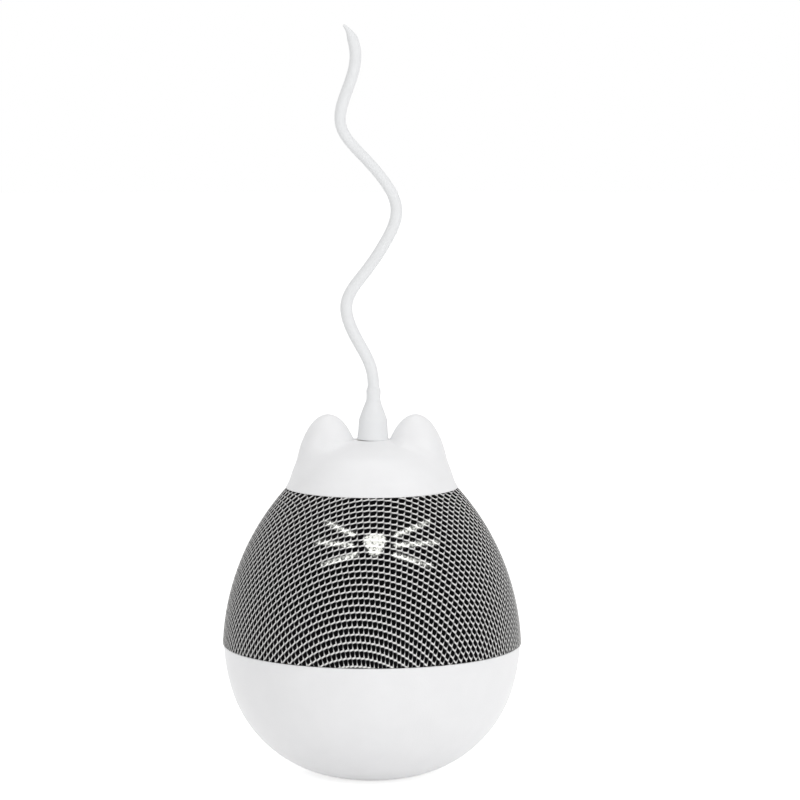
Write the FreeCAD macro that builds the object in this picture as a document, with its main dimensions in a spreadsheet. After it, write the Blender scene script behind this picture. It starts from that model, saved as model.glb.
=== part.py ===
import FreeCAD, Part
import math
import os
import re
import Sketcher

# An egg-shaped electronic cat toy. A white bowl holds three upright cells, a cloth-covered
# upper shell holds the motor and its gears, and an eared cap carries a spinning tail.
# Lengths are in millimetres. The floor is z = 0, the axis is Z and the front faces -Y.

SIZES = {
    # Outer form of the egg
    "bowl_equator": 45.9,
    "bowl_side_curve": 59.9,
    "bowl_bottom_curve": 40.9,
    "foot_depth": 0.41,
    "cloth_radius": 49.4,
    "cloth_widest": 40.3,
    "cloth_proud": 0.4,
    "seam_height": 43.5,
    "collar_radius": 27.93,
    "collar_height": 95.5,
    # Walls and clearances
    "bowl_wall": 2.2,
    "cloth_thick": 1.2,
    "shell_wall": 1.8,
    "glue_gap": 0.1,
    "seam_gap": 0.3,
    "slip_gap": 0.2,
    "part_gap": 0.3,
    "running_gap": 0.05,
    "fit_gap": 0.02,
    "cutter_over": 1.0,
    # Door and foot
    "ledge_width": 4.4,
    "door_rim": 2.0,
    "door_floor": 3.0,
    "door_lift": 0.3,
    "pad_margin": 2.3,
    "pad_thick": 1.2,
    "ledge_thick": 2.0,
    "door_screw_inset": 2.0,
    "door_boss_radius": 2.2,
    "door_step": 1.5,
    "spring_base": 5.0,
    "spring_tip": 2.6,
    "spring_wire": 0.6,
    # Cells and their holder
    "cell_radius": 7.25,
    "cell_length": 50.5,
    "cell_nub_radius": 2.75,
    "cell_nub": 1.3,
    "spring_room": 3.4,
    "cell_web": 0.24,
    "cell_room": 0.25,
    "holder_wall": 1.4,
    "contact_thick": 0.4,
    "contact_radius": 4.5,
    "deck_thick": 1.6,
    "boss_height": 7.4,
    "lug_thick": 2.0,
    "lug_reach": 3.2,
    "lug_radius": 3.6,
    "boss_radius": 2.8,
    # Screws
    "screw_radius": 0.9,
    "screw_head": 1.7,
    "screw_head_thick": 1.2,
    "screw_bite": 6.0,
    # Ballast
    "ballast_width": 6.5,
    "ballast_height": 10.6,
    # Boards, switch and button
    "board_thick": 1.6,
    "board_width": 30.0,
    "board_inset": 16.0,
    "board_rise": 12.6,
    "board_headroom": 0.9,
    "rail_width": 2.2,
    "rail_lip": 1.6,
    "rail_reach": 1.0,
    "button_drop": 13.5,
    "button_radius": 6.0,
    "button_flange": 7.3,
    "button_flange_thick": 1.4,
    "button_proud": 0.6,
    "button_travel": 1.0,
    "switch_side": 6.0,
    "switch_plunger": 1.7,
    "plunger_length": 0.7,
    "chip_side": 7.0,
    "chip_thick": 1.6,
    "capacitor_radius": 2.5,
    "capacitor_length": 9.0,
    # Lights
    "light_drop": 13.8,
    "light_shift": 1.0,
    "nose_radius": 3.2,
    "whisker_thick": 1.3,
    "whisker_start": 6.6,
    "whisker_length": 12.4,
    "whisker_angle": 17.0,
    "whisker_step": 0.65,
    "guide_wall": 1.5,
    "guide_half": 20.0,
    "guide_below": 8.7,
    "guide_above": 8.8,
    "led_board_width": 25.0,
    "led_board_height": 9.4,
    "led_side": 3.0,
    "led_thick": 1.6,
    "led_pitch": 9.0,
    "stem_apart": 10.8,
    # Motor and gears
    "can_width": 20.0,
    "can_flats": 15.4,
    "can_length": 23.4,
    "end_cap_thick": 2.0,
    "motor_boss": 3.0,
    "motor_shaft": 1.0,
    "terminal_width": 2.0,
    "gear_module": 0.4,
    "pressure_angle": 25.0,
    "backlash": 0.07,
    "root_share": 1.25,
    "pinion_teeth": 12,
    "wheel_teeth": 36,
    "output_teeth": 42,
    "motor_reach": 6.6,
    "gear_face": 3.0,
    "output_face": 3.6,
    "gear_float": 0.6,
    "box_floor": 1.6,
    "box_wall": 1.2,
    "box_room": 0.6,
    "arm_width": 8.0,
    "arm_thick": 1.3,
    "arm_hook": 0.6,
    "post_radius": 2.2,
    "post_angle_step": 64.0,
    "post_angle_first": 110.0,
    "idler_pin": 1.0,
    "output_shaft": 1.5,
    "bush_radius": 2.6,
    "bush_length": 3.0,
    # Head cap, hub and tail
    "flange_width": 5.2,
    "flange_thick": 2.0,
    "cap_screw_inset": 3.4,
    "cap_proud": 0.15,
    "cap_tuck": 2.58,
    "cap_waist_rise": 4.0,
    "cap_flare_curve": 5.0,
    "cap_side_curve": 62.0,
    "cap_lean": 2.0,
    "cap_brow_rise": 11.1,
    "cap_edge": 4.4,
    "cap_wall": 2.0,
    "cap_rise": 15.5,
    "cap_boss_length": 7.0,
    "ear_inset": 9.1,
    "ear_rise": 8.5,
    "ear_half_width": 8.8,
    "ear_half_depth": 7.2,
    "ear_half_height": 12.5,
    "hub_radius": 5.2,
    "hub_gap": 0.6,
    "hub_thick": 3.0,
    "hub_sleeve": 3.4,
    "peg_radius": 2.0,
    "peg_length": 9.8,
    "tail_base": 5.2,
    "tail_skirt": 4.6,
    "tail_skirt_height": 6.3,
    "tail_neck": 2.05,
    "tail_neck_height": 13.4,
    "tail_shoulder_curve": 9.0,
    "tail_radius": 2.0,
    "tail_tip": 0.45,
    "tail_taper": 8.5,
    "bend_1_across": 0.0,
    "bend_1_rise": 22.0,
    "bend_1_curve": 15.0,
    "bend_2_across": -9.9,
    "bend_2_rise": 21.6,
    "bend_2_curve": 13.0,
    "bend_3_across": 12.1,
    "bend_3_rise": 32.4,
    "bend_3_curve": 16.0,
    "bend_4_across": -12.05,
    "bend_4_rise": 26.8,
    "bend_4_curve": 10.0,
    "bend_5_across": -4.3,
    "bend_5_rise": 22.0,
    "bend_5_curve": 14.0,
    "tip_across": -9.1,
    "tip_rise": 10.0,
}

# The egg's outline

def cloth_at(height, inset="0"):
    """Radius of the cloth-covered flank at a height, or of a surface set in from it."""
    return f"(cloth_x + sqrt((cloth_curve - ({inset}))^2 - (({height}) - cloth_widest)^2))"


def side_at(height, inset="0"):
    """Radius of the bowl's side at a height."""
    return f"(side_x + sqrt((bowl_side_curve - ({inset}))^2 - (({height}) - bowl_equator)^2))"


def bottom_at(height, inset="0"):
    """Radius of the bowl's round bottom at a height."""
    return f"(bottom_x + sqrt((bowl_bottom_curve - ({inset}))^2 - (bottom_z - ({height}))^2))"


def height_at(radius, inset="0"):
    """Height of the bowl's round bottom at a radius."""
    return f"(bottom_z - sqrt((bowl_bottom_curve - ({inset}))^2 - (({radius}) - bottom_x)^2))"


def bend(inset="0"):
    """The corner where the bowl's bottom curve runs into its side curve."""
    share = f"((bowl_side_curve - ({inset})) / (bowl_side_curve - bowl_bottom_curve))"
    across = f"(side_x + {share} * (bottom_x - side_x))"
    return across, f"(bowl_equator + {share} * (bottom_z - bowl_equator))"


# Places worked out from the sizes above
PLACES = {
    "cloth_draw": "cloth_radius - collar_radius",
    "cloth_curve": "((collar_height - cloth_widest)^2 + cloth_draw^2) / (2 * cloth_draw)",
    "cloth_x": "cloth_radius - cloth_curve",
    "bowl_radius": "cloth_radius - cloth_proud",
    "side_x": "bowl_radius - bowl_side_curve",
    "bottom_z": "bowl_bottom_curve - foot_depth",
    "bottom_x": "side_x + sqrt((bowl_side_curve - bowl_bottom_curve)^2 - (bowl_equator - bottom_z)^2)",
    "bore_radius": "cell_radius + cell_room",
    "cell_ring": "bore_radius / cos(30deg) + cell_web",
    "holder_radius": "cell_ring + bore_radius + holder_wall",
    "mouth": "holder_radius + slip_gap",
    "door_radius": "mouth + ledge_width",
    "door_screw_ring": "door_radius - door_screw_inset",
    "door_start": bottom_at("door_lift"),
    "pad_radius": "door_start - pad_margin",
    "door_rim_top": f"max({height_at('door_radius')} + door_rim; door_floor + door_step)",
    "ledge_bottom": "door_rim_top + glue_gap",
    "floor_top": "ledge_bottom + ledge_thick",
    "ring_top": "floor_top - 2 * slip_gap",
    "cell_floor": "door_floor + spring_room",
    "lip_bottom": "seam_height - 2 * shell_wall",
    "holder_bottom": "floor_top + slip_gap",
    "cell_top": "cell_floor + cell_length",
    "deck_bottom": "cell_top + glue_gap + contact_thick",
    "deck_top": "deck_bottom + deck_thick",
    "lug_ring": "holder_radius + lug_reach",
    "lug_bottom": "floor_top + boss_height",
    "lug_top": "lug_bottom + lug_thick",
    "ballast_inner": "lug_ring + lug_radius + part_gap",
    "ballast_bottom": "floor_top + part_gap",
    "shell_inset": "cloth_thick + glue_gap",
    "hollow_inset": "shell_inset + shell_wall",
    "guide_inset": "hollow_inset + part_gap",
    "shell_top": "collar_height - slip_gap",
    "flange_bottom": "shell_top - flange_thick",
    "end_cap_bottom": "deck_top + slip_gap",
    "can_bottom": "end_cap_bottom + end_cap_thick",
    "can_top": "can_bottom + can_length",
    "box_bottom": "can_top + glue_gap",
    "box_deck": "box_bottom + box_floor",
    "stage_one": "box_deck + gear_float + slip_gap",
    "stage_two": "stage_one + gear_face + gear_float",
    "stage_end": "stage_two + output_face",
    "box_step": "stage_one + gear_face + gear_float",
    "box_roof": "stage_end + gear_float + slip_gap",
    "box_top": "box_roof + box_wall + slip_gap",
    "pinion_pitch": "gear_module * pinion_teeth / 2",
    "wheel_pitch": "gear_module * wheel_teeth / 2",
    "output_pitch": "gear_module * output_teeth / 2",
    "idler_reach": "output_pitch + pinion_pitch",
    "motor_span": "wheel_pitch + pinion_pitch",
    "motor_y": "(motor_reach^2 + idler_reach^2 - motor_span^2) / (2 * idler_reach)",
    "motor_x": "sqrt(motor_reach^2 - motor_y^2)",
    "output_case": "output_pitch + gear_module + box_room + box_wall",
    "wheel_case": "wheel_pitch + gear_module + box_room + box_wall",
    "idler_case": "pinion_pitch + gear_module + box_room + box_wall",
    "post_ring": "output_case + screw_head + part_gap",
    "flange_root": cloth_at("flange_bottom", "hollow_inset"),
    "flange_inner": "flange_root - flange_width",
    "cap_screw_ring": "flange_root - cap_screw_inset",
    "cap_foot": cloth_at("collar_height") + " + cap_proud",
    "cap_waist_radius": "cap_foot - cap_tuck",
    "cap_waist_height": "collar_height + cap_waist_rise",
    "cap_brow_radius": "cap_waist_radius - cap_lean",
    "cap_brow_height": "collar_height + cap_brow_rise",
    "cap_top": "collar_height + cap_rise",
    "ear_apart": "cap_brow_radius - ear_inset",
    "ear_tip": "cap_top + ear_rise",
    "hub_top": "cap_top",
    "hub_bottom": "hub_top - hub_thick",
    "tail_bottom": "hub_top + slip_gap",
    "light_height": "collar_height - light_drop",
    "guide_low": "light_height - guide_below",
    "guide_high": "light_height + guide_above",
    "led_board_bottom": "light_height - led_board_height / 2",
    "led_board_top": "light_height + led_board_height / 2",
    "guide_back": cloth_at("led_board_top", "guide_inset + guide_wall"),
    "led_board_reach": "led_board_width / 2 + light_shift",
    "led_board_face": "sqrt(guide_back^2 - led_board_reach^2) - part_gap",
    "led_board_depth": "led_board_face - board_thick",
    "board_depth": "bowl_radius - board_inset",
    "board_back": "board_depth + board_thick",
    "board_bottom": "floor_top + board_rise",
    "board_height": "lip_bottom - board_headroom - board_bottom",
    "button_height": "seam_height - button_drop",
    "button_seat": bottom_at("button_height - button_flange", "bowl_wall + part_gap") + " - slip_gap",
    "plunger_end": "button_seat - button_flange_thick - button_travel - glue_gap",
}

doc = FreeCAD.newDocument("SpinnerToy")
sizes = doc.addObject("Spreadsheet::Sheet", "Sizes")
for row, (alias, number) in enumerate(SIZES.items(), start=1):
    sizes.set(f"A{row}", alias)
    sizes.set(f"B{row}", str(number))
    sizes.setAlias(f"B{row}", alias)
doc.recompute()

PIECES = {}


def cells(formula):
    """Writes a formula of size names as an expression on the sheet's cells."""
    def swap(match):
        word = match.group(0)
        if word in PLACES:
            return f"({cells(PLACES[word])})"
        if word in SIZES:
            return f"Sizes.{word}"
        return word
    return re.sub(r"[A-Za-z_]\w*", swap, str(formula))


def value(formula):
    """Reads what a formula of size names comes to."""
    return float(sizes.evalExpression(cells(formula)))


def bind(thing, **formulas):
    """Ties a thing's properties to the sheet. Two underscores stand for a dot."""
    for name, formula in formulas.items():
        thing.setExpression(name.replace("__", "."), cells(formula))
    return thing


def seat(thing, x="0", y="0", z="0"):
    """Places a thing by formulas."""
    return bind(thing, Placement__Base__x=x, Placement__Base__y=y, Placement__Base__z=z)


def piece(name, thing):
    """Names a finished piece of the toy."""
    thing.Label = name
    PIECES[name] = thing
    return thing


def polar(ring, angle, turn):
    """The formula of one coordinate on a ring about the axis."""
    return f"({ring}) * {turn}(({angle}) * 1deg)"


# Primitives and booleans

def cylinder(name, radius, height, x="0", y="0", z="0", along="Z"):
    """A round bar that starts at a point and runs up, or back along +Y."""
    bar = doc.addObject("Part::Cylinder", name)
    if along == "Y":
        bar.Placement.Rotation = FreeCAD.Rotation(FreeCAD.Vector(1, 0, 0), -90)
    bind(bar, Radius=radius, Height=height)
    return seat(bar, x, y, z)


def box(name, low, size):
    """A block from its low corner and its three sides."""
    block = doc.addObject("Part::Box", name)
    bind(block, Length=size[0], Width=size[1], Height=size[2])
    return seat(block, *low)


def cut(name, base, *tools):
    """Takes the tools out of the base, one after another."""
    for tool in tools:
        result = doc.addObject("Part::Cut", name)
        result.Base = base
        result.Tool = tool
        base = result
    return base


def fuse(name, *shapes):
    """Joins shapes that meet into one."""
    result = doc.addObject("Part::MultiFuse", name)
    result.Shapes = list(shapes)
    return result


def shared(name, *shapes):
    """Keeps what all the shapes have in common."""
    result = doc.addObject("Part::MultiCommon", name)
    result.Shapes = list(shapes)
    return result


def group(name, *shapes):
    """Like pieces that stay separate solids."""
    result = doc.addObject("Part::Compound", name)
    result.Links = list(shapes)
    return result


# Sketched forms

def plane_sketch(body, role, name):
    """A sketch on one of the body's own planes."""
    sketch = body.newObject("Sketcher::SketchObject", name)
    plane = [f for f in body.Origin.OriginFeatures if f.Role == role][0]
    sketch.AttachmentSupport = [(plane, "")]
    sketch.MapMode = "FlatFace"
    return sketch


def arc_between(begin, finish, radius, side):
    """The short arc between two points; side is 1 when it turns left and -1 when right."""
    chord = finish - begin
    normal = FreeCAD.Vector(-chord.y, chord.x, 0).normalize()
    rise = math.sqrt(radius ** 2 - (chord.Length / 2) ** 2)
    centre = (begin + finish) / 2 + normal * rise * side
    first, last = (begin, finish) if side > 0 else (finish, begin)
    start = math.atan2(first.y - centre.y, first.x - centre.x)
    stop = math.atan2(last.y - centre.y, last.x - centre.x)
    if stop < start:
        stop += 2 * math.pi
    return Part.ArcOfCircle(Part.Circle(centre, FreeCAD.Vector(0, 0, 1), radius), start, stop)


def draw(sketch, corners):
    """Draws a closed outline. A corner is (x, y), reached by a line, or
    (x, y, radius, side), reached by an arc."""
    spots = [FreeCAD.Vector(value(c[0]), value(c[1]), 0) for c in corners]
    ends = []
    for number, corner in enumerate(corners):
        if len(corner) == 2:
            sketch.addGeometry(Part.LineSegment(spots[number - 1], spots[number]))
            ends.append((1, 2))
            continue
        radius, side = corner[2], corner[3]
        sketch.addGeometry(arc_between(spots[number - 1], spots[number], value(radius), side))
        ends.append((1, 2) if side > 0 else (2, 1))
        rule = sketch.addConstraint(Sketcher.Constraint("Radius", number, value(radius)))
        sketch.setExpression(f"Constraints[{rule}]", cells(radius))
    for number, corner in enumerate(corners):
        before = number - 1 if number else len(corners) - 1
        joint = Sketcher.Constraint("Coincident", before, ends[before][1], number, ends[number][0])
        sketch.addConstraint(joint)
        for kind, formula in (("DistanceX", corner[0]), ("DistanceY", corner[1])):
            rule = Sketcher.Constraint(kind, -1, 1, number, ends[number][1], value(formula))
            place = sketch.addConstraint(rule)
            sketch.setExpression(f"Constraints[{place}]", cells(formula))


def turned(name, corners):
    """A solid turned about the Z axis from an outline in the XZ plane."""
    body = doc.addObject("PartDesign::Body", name)
    sketch = plane_sketch(body, "XZ_Plane", name + "Profile")
    draw(sketch, corners)
    turn = body.newObject("PartDesign::Revolution", name + "Turn")
    turn.Profile = sketch
    turn.ReferenceAxis = (sketch, ["V_Axis"])
    turn.Angle = 360
    sketch.Visibility = False
    return body


def raised(name, corners, bottom, height):
    """A solid raised from an outline in a level plane."""
    body = doc.addObject("PartDesign::Body", name)
    sketch = plane_sketch(body, "XY_Plane", name + "Profile")
    bind(sketch, AttachmentOffset__Base__z=bottom)
    draw(sketch, corners)
    pad = body.newObject("PartDesign::Pad", name + "Pad")
    pad.Profile = sketch
    bind(pad, Length=height)
    sketch.Visibility = False
    return body


# Base bowl: moulded ABS with a ledge for the door, screw bosses and board rails
mouth_low = "door_radius + glue_gap"
outer_bend = bend()
inner_bend = bend("bowl_wall")
bowl_form = turned("BowlForm", [
    (mouth_low, height_at(mouth_low)),
    (*outer_bend, "bowl_bottom_curve", 1),
    (side_at("seam_height"), "seam_height", "bowl_side_curve", 1),
    (side_at("seam_height", "bowl_wall"), "seam_height"),
    (*inner_bend, "bowl_side_curve - bowl_wall", -1),
    (bottom_at("floor_top", "bowl_wall"), "floor_top", "bowl_bottom_curve - bowl_wall", -1),
    ("mouth", "floor_top"),
    ("mouth", "ledge_bottom"),
    (mouth_low, "ledge_bottom"),
])
bowl_room = turned("BowlRoom", [
    ("0", "floor_top"),
    (bottom_at("floor_top", "bowl_wall / 2"), "floor_top"),
    (*bend("bowl_wall / 2"), "bowl_bottom_curve - bowl_wall / 2", 1),
    (side_at("seam_height", "bowl_wall / 2"), "seam_height", "bowl_side_curve - bowl_wall / 2", 1),
    ("0", "seam_height"),
])

bosses = []
boss_bores = []
for count in range(3):
    angle = f"90 + {120 * count}"
    x = polar("lug_ring", angle, "cos")
    y = polar("lug_ring", angle, "sin")
    height = "lug_bottom - floor_top"
    bosses.append(cylinder(f"LugBoss{count}", "boss_radius", height, x, y, "floor_top"))
    low = "lug_bottom - screw_bite"
    bore = "screw_radius + fit_gap"
    boss_bores.append(cylinder(f"LugBore{count}", bore, "screw_bite + cutter_over", x, y, low))
for count, sign in enumerate(("-1", "1")):
    x = f"{sign} * door_screw_ring"
    bosses.append(cylinder(f"DoorBoss{count}", "door_boss_radius", "screw_bite - ledge_thick",
                           x, "0", "floor_top"))
    boss_bores.append(cylinder(f"DoorBore{count}", "screw_radius + slip_gap",
                               "screw_bite + slip_gap", x, "0", "ledge_bottom - fit_gap"))

rails = []
for count, sign in enumerate((-1, 1)):
    rail_x = "board_width / 2 - rail_lip" if sign > 0 else "-(board_width / 2 + slip_gap + rail_width)"
    rail = box(f"Rail{count}", (rail_x, "board_depth - slip_gap - rail_lip", "board_bottom - rail_lip"),
               ("rail_lip + slip_gap + rail_width", "bowl_radius", "board_height - slip_gap"))
    slot_x = "board_width / 2 - rail_lip - rail_reach"
    if sign < 0:
        slot_x = "-(board_width / 2 + slip_gap)"
    slot = box(f"RailSlot{count}", (slot_x, "board_depth - slip_gap", "board_bottom - slip_gap"),
               ("rail_lip + rail_reach + slip_gap", "board_thick + 2 * slip_gap",
                "board_height + rail_reach"))
    relief = box(f"RailRelief{count}",
                 (slot_x, "board_back + slip_gap + rail_lip", "board_bottom - 2 * rail_lip"),
                 ("rail_lip + rail_reach + slip_gap", "bowl_radius", "board_height + 3 * rail_lip"))
    rails.append(cut(f"RailCut{count}", rail, slot, relief))
rail_set = shared("RailsInBowl", fuse("RailPair", *rails), bowl_room)
button_hole = cylinder("ButtonHole", "button_radius + slip_gap", "bowl_radius",
                       "0", "button_seat", "button_height", "Y")
bowl_solid = fuse("BowlWithBosses", bowl_form, *bosses, rail_set)
piece("base_bowl", cut("BaseBowl", bowl_solid, *boss_bores, button_hole))

# Battery door: dished plate with a locating ring, a foot recess and two screw wells
ring_outer = "mouth - slip_gap"
door_form = turned("DoorForm", [
    ("0", "pad_thick"),
    ("pad_radius + glue_gap", "pad_thick"),
    ("pad_radius + glue_gap", "door_lift"),
    ("door_start", "door_lift"),
    ("door_radius", height_at("door_radius"), "bowl_bottom_curve", 1),
    ("door_radius", "door_rim_top"),
    (ring_outer, "door_rim_top"),
    (ring_outer, "ring_top"),
    ("holder_radius - box_wall", "ring_top"),
    ("holder_radius - box_wall", "door_floor"),
    ("0", "door_floor"),
])
door_wells = []
door_screws = []
for count, sign in enumerate(("-1", "1")):
    x = f"{sign} * door_screw_ring"
    door_wells.append(cylinder(f"DoorWell{count}", "screw_head + slip_gap",
                               "door_floor + cutter_over", x, "0", "-cutter_over"))
    door_wells.append(cylinder(f"DoorHole{count}", "screw_radius + fit_gap", "door_rim_top",
                               x, "0", "door_floor - cutter_over"))
    head = cylinder(f"DoorScrewHead{count}", "screw_head", "screw_head_thick",
                    x, "0", "door_floor - screw_head_thick")
    reach = "ledge_bottom + screw_bite - door_floor - slip_gap"
    shank = cylinder(f"DoorScrewShank{count}", "screw_radius", reach, x, "0", "door_floor")
    door_screws.append(fuse(f"DoorScrew{count}", head, shank))
piece("battery_door", cut("BatteryDoor", door_form, *door_wells))
piece("door_screws", group("DoorScrews", *door_screws))

# Foot pad: soft rubber disc that the toy stands on
piece("foot_pad", turned("FootPad", [
    ("0", "0"),
    ("pad_radius - glue_gap", "0"),
    ("pad_radius", "glue_gap"),
    ("pad_radius", "pad_thick"),
    ("0", "pad_thick"),
]))

# Three cells on end, their springs below and their contact plates above
springs = []
plates = []
cell_bores = []
for count in range(3):
    angle = f"30 + {120 * count}"
    x = polar("cell_ring", angle, "cos")
    y = polar("cell_ring", angle, "sin")
    body_end = "cell_length - cell_nub"
    cell = turned(f"Cell{count}", [
        ("0", "0"),
        ("cell_radius - part_gap", "0"),
        ("cell_radius", "part_gap"),
        ("cell_radius", f"{body_end} - part_gap"),
        ("cell_radius - part_gap", body_end),
        ("cell_nub_radius", body_end),
        ("cell_nub_radius", "cell_length"),
        ("0", "cell_length"),
    ])
    if count == 1:
        cell.Placement.Rotation = FreeCAD.Rotation(FreeCAD.Vector(1, 0, 0), 180)
        seat(cell, x, y, "cell_top")
    else:
        seat(cell, x, y, "cell_floor")
    piece(f"battery_cell_{count + 1}", cell)
    coil = turned(f"Spring{count}", [
        ("spring_base", "0"),
        ("spring_tip", "cell_floor - door_floor - glue_gap"),
        ("spring_tip - spring_wire", "cell_floor - door_floor - glue_gap"),
        ("spring_base - spring_wire", "0"),
    ])
    springs.append(seat(coil, x, y, "door_floor"))
    plates.append(cylinder(f"Plate{count}", "contact_radius", "contact_thick",
                           x, y, "deck_bottom - contact_thick"))
    cell_bores.append(cylinder(f"CellBore{count}", "bore_radius",
                               "deck_bottom - holder_bottom + cutter_over",
                               x, y, "holder_bottom - cutter_over"))
piece("door_springs", group("DoorSprings", *springs))
piece("holder_contacts", group("HolderContacts", *plates))

# Battery holder: a moulded block with three bores, screw lugs and posts for the gearbox
holder_body = cylinder("HolderBody", "holder_radius", "deck_top - holder_bottom", z="holder_bottom")
lugs = []
lug_holes = []
holder_screws = []
for count in range(3):
    angle = f"90 + {120 * count}"
    x = polar("lug_ring", angle, "cos")
    y = polar("lug_ring", angle, "sin")
    lugs.append(cylinder(f"Lug{count}", "lug_radius", "lug_thick", x, y, "lug_bottom"))
    lug_holes.append(cylinder(f"LugHole{count}", "screw_radius + slip_gap",
                              "lug_thick + 2 * cutter_over", x, y, "lug_bottom - cutter_over"))
    head = cylinder(f"LugScrewHead{count}", "screw_head", "screw_head_thick", x, y, "lug_top")
    shank = cylinder(f"LugScrewShank{count}", "screw_radius", "lug_thick + screw_bite - slip_gap",
                     x, y, "lug_bottom - screw_bite + slip_gap")
    holder_screws.append(fuse(f"LugScrew{count}", head, shank))
posts = []
post_bores = []
gearbox_screws = []
ears = []
ear_holes = []
for count in range(4):
    angle = f"post_angle_first + {count} * post_angle_step"
    x = polar("post_ring", angle, "cos")
    y = polar("post_ring", angle, "sin")
    posts.append(cylinder(f"Post{count}", "post_radius", "box_bottom - deck_top", x, y, "deck_top"))
    if count == 0:
        continue
    post_bores.append(cylinder(f"PostBore{count}", "screw_radius + fit_gap", "screw_bite + cutter_over",
                               x, y, "box_bottom - screw_bite"))
    ears.append(cylinder(f"PlateEar{count}", "post_radius + 2 * part_gap", "box_floor", x, y,
                         "box_bottom"))
    ear_holes.append(cylinder(f"EarHole{count}", "screw_radius + slip_gap",
                              "box_floor + 2 * cutter_over", x, y, "box_bottom - cutter_over"))
    head = cylinder(f"BoxScrewHead{count}", "screw_head", "screw_head_thick", x, y, "box_deck")
    shank = cylinder(f"BoxScrewShank{count}", "screw_radius", "box_floor + screw_bite - slip_gap",
                     x, y, "box_bottom - screw_bite + slip_gap")
    gearbox_screws.append(fuse(f"BoxScrew{count}", head, shank))
holder_solid = fuse("HolderSolid", holder_body, *lugs, *posts)
piece("battery_holder", cut("BatteryHolder", holder_solid, *cell_bores, *lug_holes, *post_bores))
piece("holder_screws", group("HolderScrews", *holder_screws))
piece("gearbox_screws", group("GearboxScrews", *gearbox_screws))

# Ballast: a steel ring that lies in the bottom of the bowl
ballast_inset = "bowl_wall + part_gap"
ballast_blank = turned("BallastBlank", [
    ("ballast_inner", "ballast_bottom"),
    ("ballast_inner + ballast_width", "ballast_bottom"),
    ("ballast_inner + ballast_width", "ballast_bottom + ballast_height"),
    ("ballast_inner", "ballast_bottom + ballast_height"),
])
ballast_room = turned("BallastRoom", [
    ("0", "ballast_bottom"),
    (bottom_at("ballast_bottom", ballast_inset), "ballast_bottom"),
    (*bend(ballast_inset), f"bowl_bottom_curve - ({ballast_inset})", 1),
    (side_at("seam_height", ballast_inset), "seam_height", f"bowl_side_curve - ({ballast_inset})", 1),
    ("0", "seam_height"),
])
piece("ballast_ring", shared("BallastRing", ballast_blank, ballast_room))

# Main board with its chip, capacitor and switch, upright in rails at the back of the bowl
piece("main_board", box("MainBoard", ("-board_width / 2", "board_depth", "board_bottom"),
                        ("board_width", "board_thick", "board_height")))
piece("control_chip", box("ControlChip",
                          ("-chip_side / 2", "board_depth - chip_thick", "button_height - chip_side / 2"),
                          ("chip_side", "chip_thick", "chip_side")))
piece("capacitor", cylinder("Capacitor", "capacitor_radius", "capacitor_length",
                            "board_width / 3", "board_depth - capacitor_radius - fit_gap",
                            "board_bottom + board_height / 2"))
switch_block = box("SwitchBlock", ("-switch_side / 2", "board_back", "button_height - switch_side / 2"),
                   ("switch_side", "plunger_end - plunger_length - board_back", "switch_side"))
switch_plunger = cylinder("SwitchPlunger", "switch_plunger", "plunger_length", "0",
                          "plunger_end - plunger_length", "button_height", "Y")
piece("mode_switch", fuse("ModeSwitch", switch_block, switch_plunger))

# Power button: a cap in the bowl's back whose face follows the bowl
button_reach = turned("ButtonReach", [
    ("0", "door_rim_top"),
    (bottom_at("door_rim_top", "-button_proud"), "door_rim_top"),
    (*bend("-button_proud"), "bowl_bottom_curve + button_proud", 1),
    (side_at("seam_height", "-button_proud"), "seam_height", "bowl_side_curve + button_proud", 1),
    ("0", "seam_height"),
])
button_bar = cylinder("ButtonBar", "button_radius", "bowl_radius", "0",
                      "button_seat - button_flange_thick", "button_height", "Y")
button_flange = cylinder("ButtonFlange", "button_flange", "button_flange_thick", "0",
                         "button_seat - button_flange_thick", "button_height", "Y")
piece("power_button", fuse("PowerButton", button_flange, shared("ButtonCap", button_bar, button_reach)))

# Upper shell: black ABS that carries the cloth, with light slots and a screw flange
lip_radius = side_at("seam_height", "bowl_wall + slip_gap")
lip_foot = side_at("lip_bottom", "bowl_wall + slip_gap")
flank_radius = cloth_at("seam_height", "shell_inset")
shell_flank = turned("ShellFlank", [
    (flank_radius, "seam_height"),
    (cloth_at("shell_top", "shell_inset"), "shell_top", "cloth_curve - (shell_inset)", 1),
    ("flange_inner", "shell_top"),
    ("flange_inner", "flange_bottom"),
    ("flange_root", "flange_bottom"),
    (cloth_at("seam_height", "hollow_inset"), "seam_height", "cloth_curve - (hollow_inset)", -1),
])
shell_lip = turned("ShellLip", [
    (lip_foot, "lip_bottom"),
    (lip_radius, "seam_height"),
    (f"{lip_radius} - shell_wall", "seam_height"),
    (f"{lip_foot} - shell_wall", "lip_bottom"),
])
# The step between flank and lip lies on the bowl's rim, or under it in a wider bowl
step_low = f"({flank_radius} > {lip_radius} ? seam_height : seam_height - shell_wall)"
step_inner = f"(min({flank_radius}; {lip_radius}) - shell_wall)"
step_outer = f"max({cloth_at('seam_height + shell_wall', 'shell_inset')}; {lip_radius})"
shell_step = turned("ShellStep", [
    (step_inner, step_low),
    (step_outer, step_low),
    (step_outer, f"{step_low} + shell_wall"),
    (step_inner, f"{step_low} + shell_wall"),
])


def flank_core(name, inset):
    """The solid inside a surface set in from the cloth, at the height of the lights."""
    low = "guide_low - guide_wall"
    high = "guide_high + guide_wall"
    return turned(name, [
        ("0", low),
        (cloth_at(low, inset), low),
        (cloth_at(high, inset), high, f"cloth_curve - ({inset})", 1),
        ("0", high),
    ])


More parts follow.
